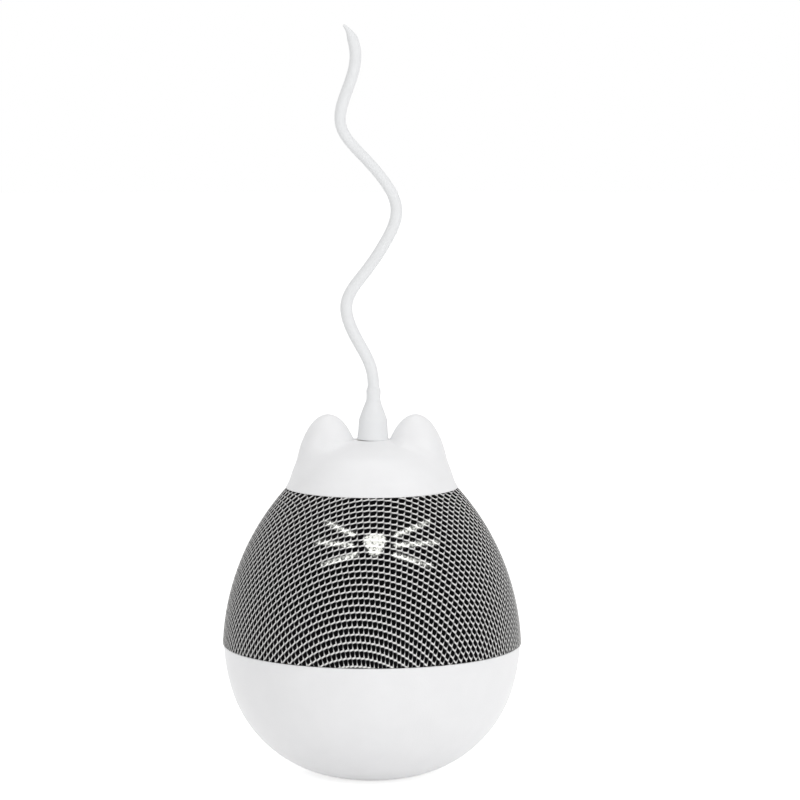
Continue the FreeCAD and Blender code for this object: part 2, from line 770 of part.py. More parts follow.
def light_bars(name, grow):
    """The nose and six whiskers as bars that run in from the front."""
    bars = [cylinder(f"{name}Nose", f"nose_radius + {grow}", "cloth_radius",
                     "light_shift", "-cloth_radius", "light_height", "Y")]
    for side in (-1, 1):
        for row in (-1, 0, 1):
            bar = doc.addObject("Part::Box", f"{name}Bar")
            bind(bar, Length=f"whisker_length + 2 * ({grow})", Width="cloth_radius",
                 Height=f"whisker_thick + 2 * ({grow})")
            tilt = f"{row} * whisker_angle" if side > 0 else f"180 - {row} * whisker_angle"
            out = f"whisker_start - ({grow})"
            down = f"(whisker_thick / 2 + {grow})"
            bar.Placement.Rotation = FreeCAD.Rotation(FreeCAD.Vector(0, -1, 0), value(tilt))
            bar.setExpression("Placement.Rotation.Angle", cells(f"abs({tilt}) * 1deg"))
            lean = f"{out} * cos(({tilt}) * 1deg) + {down} * sin(({tilt}) * 1deg)"
            lift = f"{out} * sin(({tilt}) * 1deg) - {down} * cos(({tilt}) * 1deg)"
            seat(bar, f"light_shift + {lean}", "-cloth_radius",
                 f"light_height + {row} * whisker_step + {lift}")
            bars.append(bar)
    return fuse(name, *bars)


slots = light_bars("LightSlots", "slip_gap")
flange_holes = []
cap_screws = []
cap_bosses = []
cap_bores = []
for count in range(3):
    angle = f"30 + {120 * count}"
    x = polar("cap_screw_ring", angle, "cos")
    y = polar("cap_screw_ring", angle, "sin")
    flange_holes.append(cylinder(f"FlangeHole{count}", "screw_radius + slip_gap",
                                 "flange_thick + 2 * cutter_over",
                                 x, y, "flange_bottom - cutter_over"))
    head = cylinder(f"CapScrewHead{count}", "screw_head", "screw_head_thick",
                    x, y, "flange_bottom - screw_head_thick")
    shank = cylinder(f"CapScrewShank{count}", "screw_radius", "flange_thick + screw_bite - slip_gap",
                     x, y, "flange_bottom")
    cap_screws.append(fuse(f"CapScrew{count}", head, shank))
    cap_bosses.append(cylinder(f"CapBoss{count}", "screw_radius + box_wall", "cap_boss_length",
                               x, y, "shell_top + fit_gap"))
    cap_bores.append(cylinder(f"CapBore{count}", "screw_radius + fit_gap", "screw_bite + cutter_over",
                              x, y, "shell_top - cutter_over"))
shell_solid = fuse("ShellSolid", shell_flank, shell_step, shell_lip)
piece("upper_shell", cut("UpperShell", shell_solid, slots, *flange_holes))
piece("cap_screws", group("CapScrews", *cap_screws))

# Mesh cover: knitted cloth over the upper shell, tucked in at the seam and under the cap
cloth_low = "seam_height + seam_gap"
piece("mesh_cover", turned("MeshCover", [
    (cloth_at(cloth_low), cloth_low),
    (cloth_at("shell_top"), "shell_top", "cloth_curve", 1),
    (cloth_at("shell_top", "cloth_thick"), "shell_top"),
    (cloth_at(cloth_low, "cloth_thick"), cloth_low, "cloth_curve - cloth_thick", -1),
]))

# Light guide: clear acrylic whose nose and whiskers fill the slots in the shell
guide_front = flank_core("GuideFront", "shell_inset + glue_gap")
guide_face = flank_core("GuideFace", "guide_inset")
guide_back = flank_core("GuideBack", "guide_inset + guide_wall")
guide_window = box("GuideWindow", ("light_shift - guide_half", "-cloth_radius", "guide_low"),
                   ("2 * guide_half", "cloth_radius", "guide_high - guide_low"))
guide_plate = cut("GuidePlate", shared("GuideSkin", guide_window, guide_face), guide_back)
guide_bars = cut("GuideBars", shared("GuideTeeth", light_bars("GuideLights", "0"), guide_front), guide_back)
stems = []
for count, sign in enumerate((-1, 1)):
    stems.append(cylinder(f"GuideStem{count}", "screw_radius", "cloth_radius - led_board_depth",
                          f"light_shift + {sign} * stem_apart", "-cloth_radius",
                          "light_height + led_board_height / 3", "Y"))
guide_stems = shared("GuideStems", fuse("StemPair", *stems), guide_face,
                     box("StemRoom", ("-cloth_radius", "-cloth_radius", "guide_low"),
                         ("2 * cloth_radius", "cloth_radius - led_board_face",
                          "guide_high - guide_low")))
piece("light_guide", fuse("LightGuide", guide_plate, guide_bars, guide_stems))

# Light board with three diodes behind the nose and the whiskers
piece("led_board", box("LedBoard",
                       ("light_shift - led_board_width / 2", "-led_board_face", "led_board_bottom"),
                       ("led_board_width", "board_thick", "led_board_height")))
diodes = []
for count in (-1, 0, 1):
    diodes.append(box(f"Diode{count + 1}",
                      (f"light_shift + {count} * led_pitch - led_side / 2",
                       "-led_board_face - led_thick", "light_height - led_side / 2"),
                      ("led_side", "led_thick", "led_side")))
piece("leds", group("Leds", *diodes))

# Motor: flat-sided steel can with a moulded end cap and two terminals
can_round = cylinder("CanRound", "can_width / 2", "can_length", "motor_x", "motor_y", "can_bottom")
can_sides = box("CanSides", ("motor_x - can_width / 2", "motor_y - can_flats / 2", "can_bottom"),
                ("can_width", "can_flats", "can_length"))
can_boss = cylinder("CanBoss", "motor_boss", "box_floor", "motor_x", "motor_y", "can_top")
can_bore = cylinder("CanBore", "motor_shaft + running_gap",
                    "can_length + box_floor + 2 * cutter_over",
                    "motor_x", "motor_y", "can_bottom - cutter_over")
can_solid = fuse("CanSolid", shared("CanForm", can_round, can_sides), can_boss)
piece("motor_can", cut("MotorCan", can_solid, can_bore))
end_round = cylinder("EndRound", "can_width / 2 - box_wall / 2", "end_cap_thick",
                     "motor_x", "motor_y", "end_cap_bottom")
end_sides = box("EndSides",
                ("motor_x - can_width / 2", "motor_y - can_flats / 2 + box_wall / 2", "end_cap_bottom"),
                ("can_width", "can_flats - box_wall", "end_cap_thick"))
piece("motor_end_cap", shared("MotorEndCap", end_round, end_sides))
terminals = []
for count, sign in enumerate((-1, 1)):
    terminals.append(box(f"Terminal{count}",
                         (f"motor_x + {sign} * can_width / 4 - terminal_width / 2",
                          "motor_y - can_flats / 2 - box_wall", "end_cap_bottom + end_cap_thick / 4"),
                         ("terminal_width", "3 * box_wall / 2 - fit_gap", "contact_thick")))
piece("motor_terminals", group("MotorTerminals", *terminals))
piece("motor_shaft", cylinder("MotorShaft", "motor_shaft", "stage_two - can_bottom - slip_gap - fit_gap",
                              "motor_x", "motor_y", "can_bottom + fit_gap"))


# Gearbox: a plate that grips the motor, and a stepped cover over the two gear stages
def case_outline(low_radius, high_radius):
    """Two round ends joined by tangent sides, about the output shaft and the idler."""
    reach = "idler_reach"
    rise = f"((({low_radius}) - ({high_radius})) / ({reach}))"
    wide = f"sqrt(1 - {rise}^2)"
    low = (f"({low_radius}) * {wide}", f"({low_radius}) * {rise}")
    high = (f"({high_radius}) * {wide}", f"{reach} + ({high_radius}) * {rise}")
    return [
        (f"-{low[0]}", low[1]),
        ("0", f"-({low_radius})", low_radius, 1),
        (low[0], low[1], low_radius, 1),
        (high[0], high[1]),
        ("0", f"{reach} + ({high_radius})", high_radius, 1),
        (f"-{high[0]}", high[1], high_radius, 1),
    ]


plate_form = raised("PlateForm", case_outline("output_case", "wheel_case"), "box_bottom", "box_floor")
arm_low = "can_bottom - arm_hook - fit_gap"
arm_top = "box_bottom + box_floor / 2"
arms = []
for count, sign in enumerate((-1, 1)):
    face = f"motor_y + {sign} * (can_flats / 2 + slip_gap)"
    arm_y = face if sign > 0 else f"{face} - arm_thick"
    arms.append(box(f"MotorArm{count}",
                    ("motor_x - arm_width / 2", arm_y, arm_low),
                    ("arm_width", "arm_thick", f"{arm_top} - ({arm_low})")))
    hook_y = f"{face} - arm_hook" if sign > 0 else face
    arms.append(box(f"MotorHook{count}",
                    ("motor_x - arm_width / 2", hook_y, arm_low),
                    ("arm_width", "arm_hook", "arm_hook")))
plate_solid = fuse("PlateSolid", plate_form, *ears, *arms)
through = ("box_floor + 2 * cutter_over", "box_bottom - cutter_over")
motor_hole = cylinder("MotorHole", "motor_boss + slip_gap", through[0], "motor_x", "motor_y", through[1])
shaft_seat = cylinder("ShaftSeat", "output_shaft + running_gap", through[0], z=through[1])
pin_seat = cylinder("PinSeat", "idler_pin + fit_gap", through[0], "0", "idler_reach", through[1])
piece("gearbox_base", cut("GearboxBase", plate_solid, motor_hole, shaft_seat, pin_seat, *ear_holes))

cover_low = raised("CoverLow", case_outline("output_case", "wheel_case"),
                   "box_deck", "box_step + box_wall - box_deck")
cover_high = raised("CoverHigh", case_outline("output_case", "idler_case"),
                    "box_deck", "box_top - box_deck")
room_low = raised("RoomLow", case_outline("output_case - box_wall", "wheel_case - box_wall"),
                  "box_deck - cutter_over", "box_step - box_deck + cutter_over")
room_high = raised("RoomHigh", case_outline("output_case - box_wall", "idler_case - box_wall"),
                   "box_deck - cutter_over", "box_roof - box_deck + cutter_over")
bush_hole = cylinder("BushHole", "bush_radius + fit_gap", "box_top", z="box_roof - cutter_over")
pin_hole = cylinder("PinHole", "idler_pin + fit_gap", "box_wall", "0", "idler_reach",
                    "box_roof - cutter_over")
piece("gearbox_cover", cut("GearboxCover", fuse("CoverSolid", cover_low, cover_high),
                           room_low, room_high, bush_hole, pin_hole))
piece("shaft_bush", turned("ShaftBush", [
    ("output_shaft + running_gap", "box_roof + fit_gap"),
    ("bush_radius", "box_roof + fit_gap"),
    ("bush_radius", "box_top + fit_gap"),
    ("bush_radius + box_wall", "box_top + fit_gap"),
    ("bush_radius + box_wall", "box_roof + bush_length"),
    ("output_shaft + running_gap", "box_roof + bush_length"),
]))
piece("idler_pin", cylinder("IdlerPin", "idler_pin", "box_roof - box_bottom",
                            "0", "idler_reach", "box_bottom"))


# Gears: involute teeth from the sheet's module and pressure angle
def rim_point(radius, angle):
    """A point on a circle about the gear's axis."""
    return FreeCAD.Vector(radius * math.cos(angle), radius * math.sin(angle), 0)


def toothed(teeth, phase, thick):
    """A toothed disc with one tooth centred at the phase angle. Each flank is the arc
    through three points of the involute, and the teeth are thinned for backlash."""
    pressure = math.radians(value("pressure_angle"))
    module = value("gear_module")
    pitch = module * teeth / 2
    base = pitch * math.cos(pressure)
    root = pitch - value("root_share") * module
    tip = pitch + module
    start = max(base, root)
    half = math.pi / (2 * teeth) - value("backlash") / (2 * pitch)
    half += math.tan(pressure) - pressure

    def lean(radius):
        slope = math.acos(min(1.0, base / radius))
        return half - (math.tan(slope) - slope)

    radii = (start, (start + tip) / 2, tip)
    step = 2 * math.pi / teeth
    edges = []
    for number in range(teeth):
        middle = phase + number * step
        rising = [rim_point(radius, middle - lean(radius)) for radius in radii]
        falling = [rim_point(radius, middle + lean(radius)) for radius in reversed(radii)]
        valley = rim_point(root, middle + step / 2)
        foot_left = rim_point(root, middle + lean(start))
        foot_right = rim_point(root, middle + step - lean(start))
        if start > root:
            edges.append(Part.LineSegment(rim_point(root, middle - lean(start)), rising[0]).toShape())
        edges.append(Part.Arc(*rising).toShape())
        edges.append(Part.Arc(rising[2], rim_point(tip, middle), falling[0]).toShape())
        edges.append(Part.Arc(*falling).toShape())
        if start > root:
            edges.append(Part.LineSegment(falling[2], foot_left).toShape())
        edges.append(Part.Arc(foot_left, valley, foot_right).toShape())
    return Part.Face(Part.Wire(edges)).extrude(FreeCAD.Vector(0, 0, thick))


def shaped(name, shape, x="0", y="0", z="0"):
    """A feature whose form is set here and whose place is bound to the sheet."""
    feature = doc.addObject("Part::Feature", name)
    feature.Shape = shape.removeSplitter()
    return seat(feature, x, y, z)


def collar(radius, bottom, top):
    """A round sleeve about a gear's own axis."""
    return Part.makeCylinder(radius, top - bottom, FreeCAD.Vector(0, 0, bottom))


def raise_by(shape, height):
    """The shape moved up its own axis."""
    shape.translate(FreeCAD.Vector(0, 0, height))
    return shape


pinion_teeth = int(value("pinion_teeth"))
mesh_angle = math.atan2(value("motor_y - idler_reach"), value("motor_x"))
half_gap = math.pi / pinion_teeth
first_face = value("gear_face")
second_face = value("output_face")
second_start = value("stage_two - stage_one")
lift = value("gear_float")
over = value("cutter_over")

motor_pinion = toothed(pinion_teeth, mesh_angle + math.pi + half_gap, first_face)
motor_pinion = motor_pinion.cut(collar(value("motor_shaft"), -over, first_face + over))
piece("motor_pinion", shaped("MotorPinion", motor_pinion, "motor_x", "motor_y", "stage_one"))

wheel = toothed(int(value("wheel_teeth")), mesh_angle, first_face)
small = raise_by(toothed(pinion_teeth, -math.pi / 2 + half_gap, second_face), second_start)
idler_sleeve = collar(value("pinion_pitch - root_share * gear_module"), -lift, second_start)
idler_bore = collar(value("idler_pin + running_gap"), -lift - over, second_start + second_face + over)
piece("compound_gear", shaped("CompoundGear", wheel.fuse([small, idler_sleeve]).cut(idler_bore),
                              "0", "idler_reach", "stage_one"))

output = raise_by(toothed(int(value("output_teeth")), math.pi / 2, second_face), second_start)
output_sleeve = collar(value("output_shaft + box_wall"), -lift, second_start)
output_top = collar(value("output_shaft + box_wall"), second_start + second_face,
                    second_start + second_face + lift)
output_bore = collar(value("output_shaft"), -lift - over,
                     second_start + second_face + lift + over)
output = output.fuse([output_sleeve, output_top]).cut(output_bore)
piece("output_gear", shaped("OutputGear", output, "0", "0", "stage_one"))

# Output shaft, and the hub that it turns: a sleeve, a round plate and the tail's peg
shaft_low = "box_bottom + slip_gap"
piece("output_shaft", cylinder("OutputShaft", "output_shaft", f"hub_bottom - ({shaft_low})", z=shaft_low))
hub_low = "box_roof + bush_length + slip_gap"
piece("tail_hub", turned("TailHub", [
    ("output_shaft", hub_low),
    ("hub_sleeve", hub_low),
    ("hub_sleeve", "hub_bottom"),
    ("hub_radius", "hub_bottom"),
    ("hub_radius", "hub_top"),
    ("peg_radius", "hub_top"),
    ("peg_radius", "hub_top + peg_length"),
    ("0", "hub_top + peg_length"),
    ("0", "hub_bottom"),
    ("output_shaft", "hub_bottom"),
]))

# Head cap: white ABS with two ears, a hole for the hub and three screw bosses
hole_radius = "hub_radius + hub_gap"
cap_form = turned("CapForm", [
    ("cap_foot - cap_wall", "collar_height"),
    ("cap_foot", "collar_height"),
    ("cap_waist_radius", "cap_waist_height", "cap_flare_curve", -1),
    ("cap_brow_radius", "cap_brow_height", "cap_side_curve", 1),
    ("cap_brow_radius - cap_edge", "cap_top", "cap_edge", 1),
    (hole_radius, "cap_top"),
    (hole_radius, "cap_top - cap_wall"),
    ("cap_brow_radius - cap_edge", "cap_top - cap_wall"),
    ("cap_brow_radius - cap_wall", "cap_brow_height"),
    ("cap_waist_radius - cap_wall", "cap_waist_height"),
])
cap_ears = []
for count, sign in enumerate((-1, 1)):
    ear = doc.addObject("Part::Ellipsoid", f"Ear{count}")
    bind(ear, Radius1="ear_half_height", Radius2="ear_half_width", Radius3="ear_half_depth")
    cap_ears.append(seat(ear, f"{sign} * ear_apart", "0", "ear_tip - ear_half_height"))
cap_hollow = turned("CapHollow", [
    ("0", "collar_height - cutter_over"),
    ("cap_waist_radius - cap_wall", "collar_height - cutter_over"),
    ("cap_waist_radius - cap_wall", "cap_waist_height"),
    ("cap_brow_radius - cap_wall", "cap_brow_height"),
    ("cap_brow_radius - cap_edge", "cap_top - cap_wall"),
    ("0", "cap_top - cap_wall"),
])
ears_only = cut("EarsOnly", fuse("EarPair", *cap_ears), cap_hollow)
cap_solid = fuse("CapSolid", cap_form, ears_only, *cap_bosses)
cap_hole = cylinder("CapHole", hole_radius, "ear_tip", z="cap_top - cap_wall - cutter_over")
piece("head_cap", cut("HeadCap", cap_solid, *cap_bores, cap_hole))


# Tail: soft silicone, a skirted socket and a wavy stem that tapers to a point
def stem_run(begin, finish, radius):
    """A straight run of the stem."""
    return Part.makeCylinder(radius, (finish - begin).Length, begin, finish - begin)


def stem_bend(enter, leave, centre, heading, radius):
    """A bend of the stem, its round section turned about the bend's centre."""
    section = Part.Face(Part.Wire(Part.makeCircle(radius, enter, heading)))
    axis = (enter - centre).cross(leave - centre)
    angle = math.degrees((enter - centre).getAngle(leave - centre))
    return section.revolve(centre, axis, angle)


def tail_shape():
    """The stem along its wave: straight runs, tangent bends, a taper and a round tip."""
    stem = value("tail_radius")
    point = value("tail_tip")
    corners = [FreeCAD.Vector(0, 0, value("tail_neck_height - tail_neck"))]
    curves = []
    height = 0
    for number in range(1, 6):
        height += value(f"bend_{number}_rise")
        corners.append(FreeCAD.Vector(value(f"bend_{number}_across"), 0, height))
        curves.append(value(f"bend_{number}_curve"))
    corners.append(FreeCAD.Vector(value("tip_across"), 0, height + value("tip_rise")))
    solids = []
    start = corners[0]
    for before, corner, after, curve in zip(corners, corners[1:], corners[2:], curves):
        back = (before - corner).normalize()
        ahead = (after - corner).normalize()
        half_angle = back.getAngle(ahead) / 2
        reach = curve / math.tan(half_angle)
        enter = corner + back * reach
        leave = corner + ahead * reach
        middle = (back + ahead).normalize()
        centre = corner + middle * (curve / math.sin(half_angle))
        solids.append(stem_run(start, enter, stem))
        solids.append(stem_bend(enter, leave, centre, corner - before, stem))
        start = leave
    heading = (corners[-1] - corners[-2]).normalize()
    taper_start = corners[-1] - heading * value("tail_taper")
    solids.append(stem_run(start, taper_start, stem))
    taper = value("tail_taper") - point
    solids.append(Part.makeCone(stem, point, taper, taper_start, heading))
    solids.append(Part.makeSphere(point, corners[-1] - heading * point))
    return solids[0].fuse(solids[1:])


tail_skirt = turned("TailSkirt", [
    ("peg_radius + slip_gap", "0"),
    ("tail_base", "0"),
    ("tail_skirt", "tail_skirt_height"),
    ("tail_neck", "tail_neck_height", "tail_shoulder_curve", 1),
    ("0", "tail_neck_height"),
    ("0", "peg_length + part_gap"),
    ("peg_radius + slip_gap", "peg_length + part_gap"),
])
seat(tail_skirt, z="tail_bottom")
tail_stem = shaped("TailStem", tail_shape(), z="tail_bottom")
piece("tail", fuse("Tail", tail_skirt, tail_stem))

# Build, check and write
doc.recompute()
for thing in doc.Objects:
    if "Invalid" in thing.State or "Error" in thing.State:
        raise RuntimeError(f"{thing.Name} ({thing.Label}) failed: {thing.State}")
for name, thing in PIECES.items():
    if thing.Shape.isNull() or not thing.Shape.isValid() or not thing.Shape.Solids:
        raise RuntimeError(f"{name} has no valid solid")
os.makedirs("parts", exist_ok=True)
for name, thing in PIECES.items():
    thing.Shape.exportStep(f"parts/{name}.step")
    print(f"{name}: {len(thing.Shape.Solids)} solids, {thing.Shape.Volume:.1f} mm3")
print(f"{len(PIECES)} pieces written")
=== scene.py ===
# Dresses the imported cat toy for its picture, piece by piece, in the order that it is put together.
import math

import bmesh
import bpy
import numpy as np
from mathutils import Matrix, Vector


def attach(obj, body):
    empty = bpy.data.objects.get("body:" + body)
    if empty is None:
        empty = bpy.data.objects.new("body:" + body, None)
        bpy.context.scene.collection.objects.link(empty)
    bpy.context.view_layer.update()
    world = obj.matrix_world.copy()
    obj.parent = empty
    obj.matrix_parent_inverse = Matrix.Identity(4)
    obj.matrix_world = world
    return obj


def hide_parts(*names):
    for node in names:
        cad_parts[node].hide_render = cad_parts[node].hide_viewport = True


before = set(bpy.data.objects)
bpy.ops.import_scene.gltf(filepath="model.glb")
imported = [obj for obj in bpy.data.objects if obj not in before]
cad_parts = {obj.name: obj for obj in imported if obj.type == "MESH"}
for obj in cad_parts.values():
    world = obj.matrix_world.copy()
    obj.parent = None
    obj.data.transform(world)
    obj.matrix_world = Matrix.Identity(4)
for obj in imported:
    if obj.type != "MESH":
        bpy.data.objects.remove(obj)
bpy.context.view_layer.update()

# ---- Ballast ring and battery cells ----
# A cast iron ring in the bowl keeps the toy upright, round three AA cells in a plain dark sleeve.
# The cells stand on plated springs and press up against plated contacts.


def linear(code):
    """One sRGB hex colour as the linear red, green, blue and alpha that a shader takes."""
    channels = [int(code[start:start + 2], 16) / 255 for start in (1, 3, 5)]
    return [c / 12.92 if c <= 0.04045 else ((c + 0.055) / 1.055) ** 2.4 for c in channels] + [1.0]


def finish_named(name):
    """A new material with an empty node tree."""
    material = bpy.data.materials.new(name)
    material.use_nodes = True
    material.node_tree.nodes.clear()
    return material


def add(material, kind, sockets, **settings):
    """Adds a shader node: its settings, and for each socket a value or the output that feeds it."""
    made = material.node_tree.nodes.new("ShaderNode" + kind)
    for name, value in settings.items():
        setattr(made, name, value)
    for name, value in sockets.items():
        if isinstance(value, bpy.types.NodeSocket):
            material.node_tree.links.new(value, made.inputs[name])
        else:
            made.inputs[name].default_value = value
    return made


def dress(material, *names):
    """Gives CAD nodes a material in every slot."""
    for name in names:
        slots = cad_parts[name].data.materials
        slots.clear()
        slots.append(material)


# Grey cast iron: a sand-cast skin, dull and faintly pitted, grain about 0.6 mm.
cast_iron = finish_named("grey_cast_iron")
place = add(cast_iron, "TexCoord", {}).outputs["Object"]
grain = add(cast_iron, "TexNoise", {"Vector": place, "Scale": 1000 / 0.6, "Detail": 4.0})
tone = add(cast_iron, "Mix", {0: grain.outputs["Fac"], 6: linear("#3A3A3C"), 7: linear("#57585A")},
           data_type="RGBA")
pits = add(cast_iron, "Bump", {"Height": grain.outputs["Fac"], "Distance": 0.0002, "Strength": 0.6})
skin = add(cast_iron, "BsdfPrincipled", {"Base Color": tone.outputs[2], "Metallic": 1.0,
                                         "Roughness": 0.62, "Normal": pits.outputs["Normal"]})
add(cast_iron, "OutputMaterial", {"Surface": skin.outputs[0]})
dress(cast_iron, "ballast_ring")

# PVC shrink wrap: a glossy dark film, its tone a little uneven, about 4 mm apart, where it shrank.
shrink_wrap = finish_named("pvc_shrink_wrap")
place = add(shrink_wrap, "TexCoord", {}).outputs["Object"]
uneven = add(shrink_wrap, "TexNoise", {"Vector": place, "Scale": 1000 / 4.0, "Detail": 2.0})
tone = add(shrink_wrap, "Mix", {0: uneven.outputs["Fac"], 6: linear("#29292C"),
                                7: linear("#353539")}, data_type="RGBA")
ripple = add(shrink_wrap, "Bump", {"Height": uneven.outputs["Fac"], "Distance": 0.00005})
film = add(shrink_wrap, "BsdfPrincipled", {"Base Color": tone.outputs[2], "Roughness": 0.22,
                                           "Normal": ripple.outputs["Normal"], "IOR": 1.53})
add(shrink_wrap, "OutputMaterial", {"Surface": film.outputs[0]})
dress(shrink_wrap, "battery_cell_1", "battery_cell_2", "battery_cell_3")

# Nickel-plated spring steel: bright and smooth, with faint drawing lines about 0.3 mm apart.
nickel_plate = finish_named("nickel_plated_spring_steel")
place = add(nickel_plate, "TexCoord", {}).outputs["Object"]
drawn = add(nickel_plate, "TexNoise", {"Vector": place, "Scale": 1000 / 0.3, "Detail": 3.0})
sheen = add(nickel_plate, "MapRange", {"Value": drawn.outputs["Fac"], "To Min": 0.2,
                                       "To Max": 0.34})
plate = add(nickel_plate, "BsdfPrincipled", {"Base Color": linear("#C9C6BD"), "Metallic": 1.0,
                                             "Roughness": sheen.outputs[0]})
add(nickel_plate, "OutputMaterial", {"Surface": plate.outputs[0]})
dress(nickel_plate, "door_springs", "holder_contacts", "motor_terminals")

# ---- Electronics and drive ----
# A board with its chip, capacitor and mode switch, a can motor, and a two-stage train of moulded
# gears in a small gearbox. All of it is hidden in the closed toy.

# FR-4 laminate under solder mask: green, glossy, with the glass weave just showing at 1.2 mm.
solder_mask = finish_named("fr4_solder_mask")
place = add(solder_mask, "TexCoord", {}).outputs["Object"]
weave = add(solder_mask, "TexChecker", {"Vector": place, "Scale": 1000 / 1.2,
                                        "Color1": linear("#1F5A3A"), "Color2": linear("#236340")})
mask = add(solder_mask, "BsdfPrincipled", {"Base Color": weave.outputs["Color"], "Roughness": 0.3})
add(solder_mask, "OutputMaterial", {"Surface": mask.outputs[0]})
dress(solder_mask, "main_board", "led_board")

# Epoxy moulding compound: matt black-grey, with fine specks where silica grains of 0.2 mm show.
moulding_compound = finish_named("epoxy_moulding_compound")
place = add(moulding_compound, "TexCoord", {}).outputs["Object"]
specks = add(moulding_compound, "TexNoise", {"Vector": place, "Scale": 1000 / 0.2, "Detail": 2.0})
tone = add(moulding_compound, "Mix", {0: specks.outputs["Fac"], 6: linear("#1B1B1D"),
                                      7: linear("#2E2E31")}, data_type="RGBA")
lump = add(moulding_compound, "BsdfPrincipled", {"Base Color": tone.outputs[2], "Roughness": 0.55})
add(moulding_compound, "OutputMaterial", {"Surface": lump.outputs[0]})
dress(moulding_compound, "control_chip", "capacitor", "mode_switch")

# Clear epoxy of the diodes: water-clear with a little haze.
diode_epoxy = finish_named("clear_diode_epoxy")
place = add(diode_epoxy, "TexCoord", {}).outputs["Object"]
haze = add(diode_epoxy, "TexNoise", {"Vector": place, "Scale": 1000 / 0.8, "Detail": 2.0})
cloudy = add(diode_epoxy, "MapRange", {"Value": haze.outputs["Fac"], "To Min": 0.08, "To Max": 0.2})
lens = add(diode_epoxy, "BsdfPrincipled", {"Base Color": linear("#F4F6F8"), "IOR": 1.5,
                                           "Roughness": cloudy.outputs[0],
                                           "Transmission Weight": 0.6})
add(diode_epoxy, "OutputMaterial", {"Surface": lens.outputs[0]})
dress(diode_epoxy, "leds")

# Acetal: a white moulded gear plastic, waxy and slightly see-through at thin teeth.
acetal = finish_named("natural_acetal")
place = add(acetal, "TexCoord", {}).outputs["Object"]
wax = add(acetal, "TexNoise", {"Vector": place, "Scale": 1000 / 1.5, "Detail": 2.0})
tone = add(acetal, "Mix", {0: wax.outputs["Fac"], 6: linear("#E6E2D6"), 7: linear("#EFECE2")},
           data_type="RGBA")
waxy = add(acetal, "BsdfPrincipled", {"Base Color": tone.outputs[2], "Roughness": 0.35,
                                      "Subsurface Weight": 0.1, "Subsurface Scale": 0.001,
                                      "Subsurface Radius": (1.0, 0.95, 0.9)})
add(acetal, "OutputMaterial", {"Surface": waxy.outputs[0]})
dress(acetal, "compound_gear", "output_gear", "tail_hub")

# Turned brass: fine tool rings, each about 0.15 mm wide, seen as slight changes of gloss. A wave
# texture's light or dark band is a twentieth of pi wide at scale 1.
wave_band = math.pi / 20
turned_brass = finish_named("turned_brass")
place = add(turned_brass, "TexCoord", {}).outputs["Object"]
rings = add(turned_brass, "TexWave", {"Vector": place, "Scale": 1000 / 0.15 * wave_band},
            bands_direction="Z")
gloss = add(turned_brass, "MapRange", {"Value": rings.outputs["Fac"], "To Min": 0.22,
                                       "To Max": 0.36})
brassy = add(turned_brass, "BsdfPrincipled", {"Base Color": linear("#C8A45A"), "Metallic": 1.0,
                                              "Roughness": gloss.outputs[0]})
add(turned_brass, "OutputMaterial", {"Surface": brassy.outputs[0]})
dress(turned_brass, "motor_pinion", "shaft_bush")

# Ground steel: shafts and pin, bright with fine grinding marks, each about 0.1 mm wide.
ground_steel = finish_named("ground_steel")
place = add(ground_steel, "TexCoord", {}).outputs["Object"]
marks = add(ground_steel, "TexWave", {"Vector": place, "Scale": 1000 / 0.1 * wave_band},
            bands_direction="Z")
gloss = add(ground_steel, "MapRange", {"Value": marks.outputs["Fac"], "To Min": 0.18,
                                       "To Max": 0.3})
steely = add(ground_steel, "BsdfPrincipled", {"Base Color": linear("#B9BBBE"), "Metallic": 1.0,
                                              "Roughness": gloss.outputs[0]})
add(ground_steel, "OutputMaterial", {"Surface": steely.outputs[0]})
dress(ground_steel, "motor_shaft", "idler_pin", "output_shaft")

# Zinc-plated steel: screws and the drawn motor can, grey-white with soft cloudy spangle of 2 mm.
zinc_plate = finish_named("zinc_plated_steel")
place = add(zinc_plate, "TexCoord", {}).outputs["Object"]
spangle = add(zinc_plate, "TexVoronoi", {"Vector": place, "Scale": 1000 / 2.0})
gloss = add(zinc_plate, "MapRange", {"Value": spangle.outputs["Distance"], "To Min": 0.28,
                                     "To Max": 0.42})
zinc = add(zinc_plate, "BsdfPrincipled", {"Base Color": linear("#AEB2B6"), "Metallic": 1.0,
                                          "Roughness": gloss.outputs[0]})
add(zinc_plate, "OutputMaterial", {"Surface": zinc.outputs[0]})
dress(zinc_plate, "motor_can", "holder_screws", "gearbox_screws", "cap_screws", "door_screws")

# Glass-filled nylon: the motor's end cap, off-white and dry-looking, fibre swirls about 1 mm.
filled_nylon = finish_named("glass_filled_nylon")
place = add(filled_nylon, "TexCoord", {}).outputs["Object"]
swirl = add(filled_nylon, "TexNoise", {"Vector": place, "Scale": 1000 / 1.0, "Distortion": 1.5})
tone = add(filled_nylon, "Mix", {0: swirl.outputs["Fac"], 6: linear("#CFC9B8"),
                                 7: linear("#E0DCCF")}, data_type="RGBA")
dry = add(filled_nylon, "BsdfPrincipled", {"Base Color": tone.outputs[2], "Roughness": 0.5})
add(filled_nylon, "OutputMaterial", {"Surface": dry.outputs[0]})
dress(filled_nylon, "motor_end_cap")

# ---- Inner shell, holder, gearbox and light guide ----
# ABS mouldings that carry everything, spark-eroded to a fine matt grain, and a clear acrylic guide
# that brings the light of the diodes to the nose and whiskers.

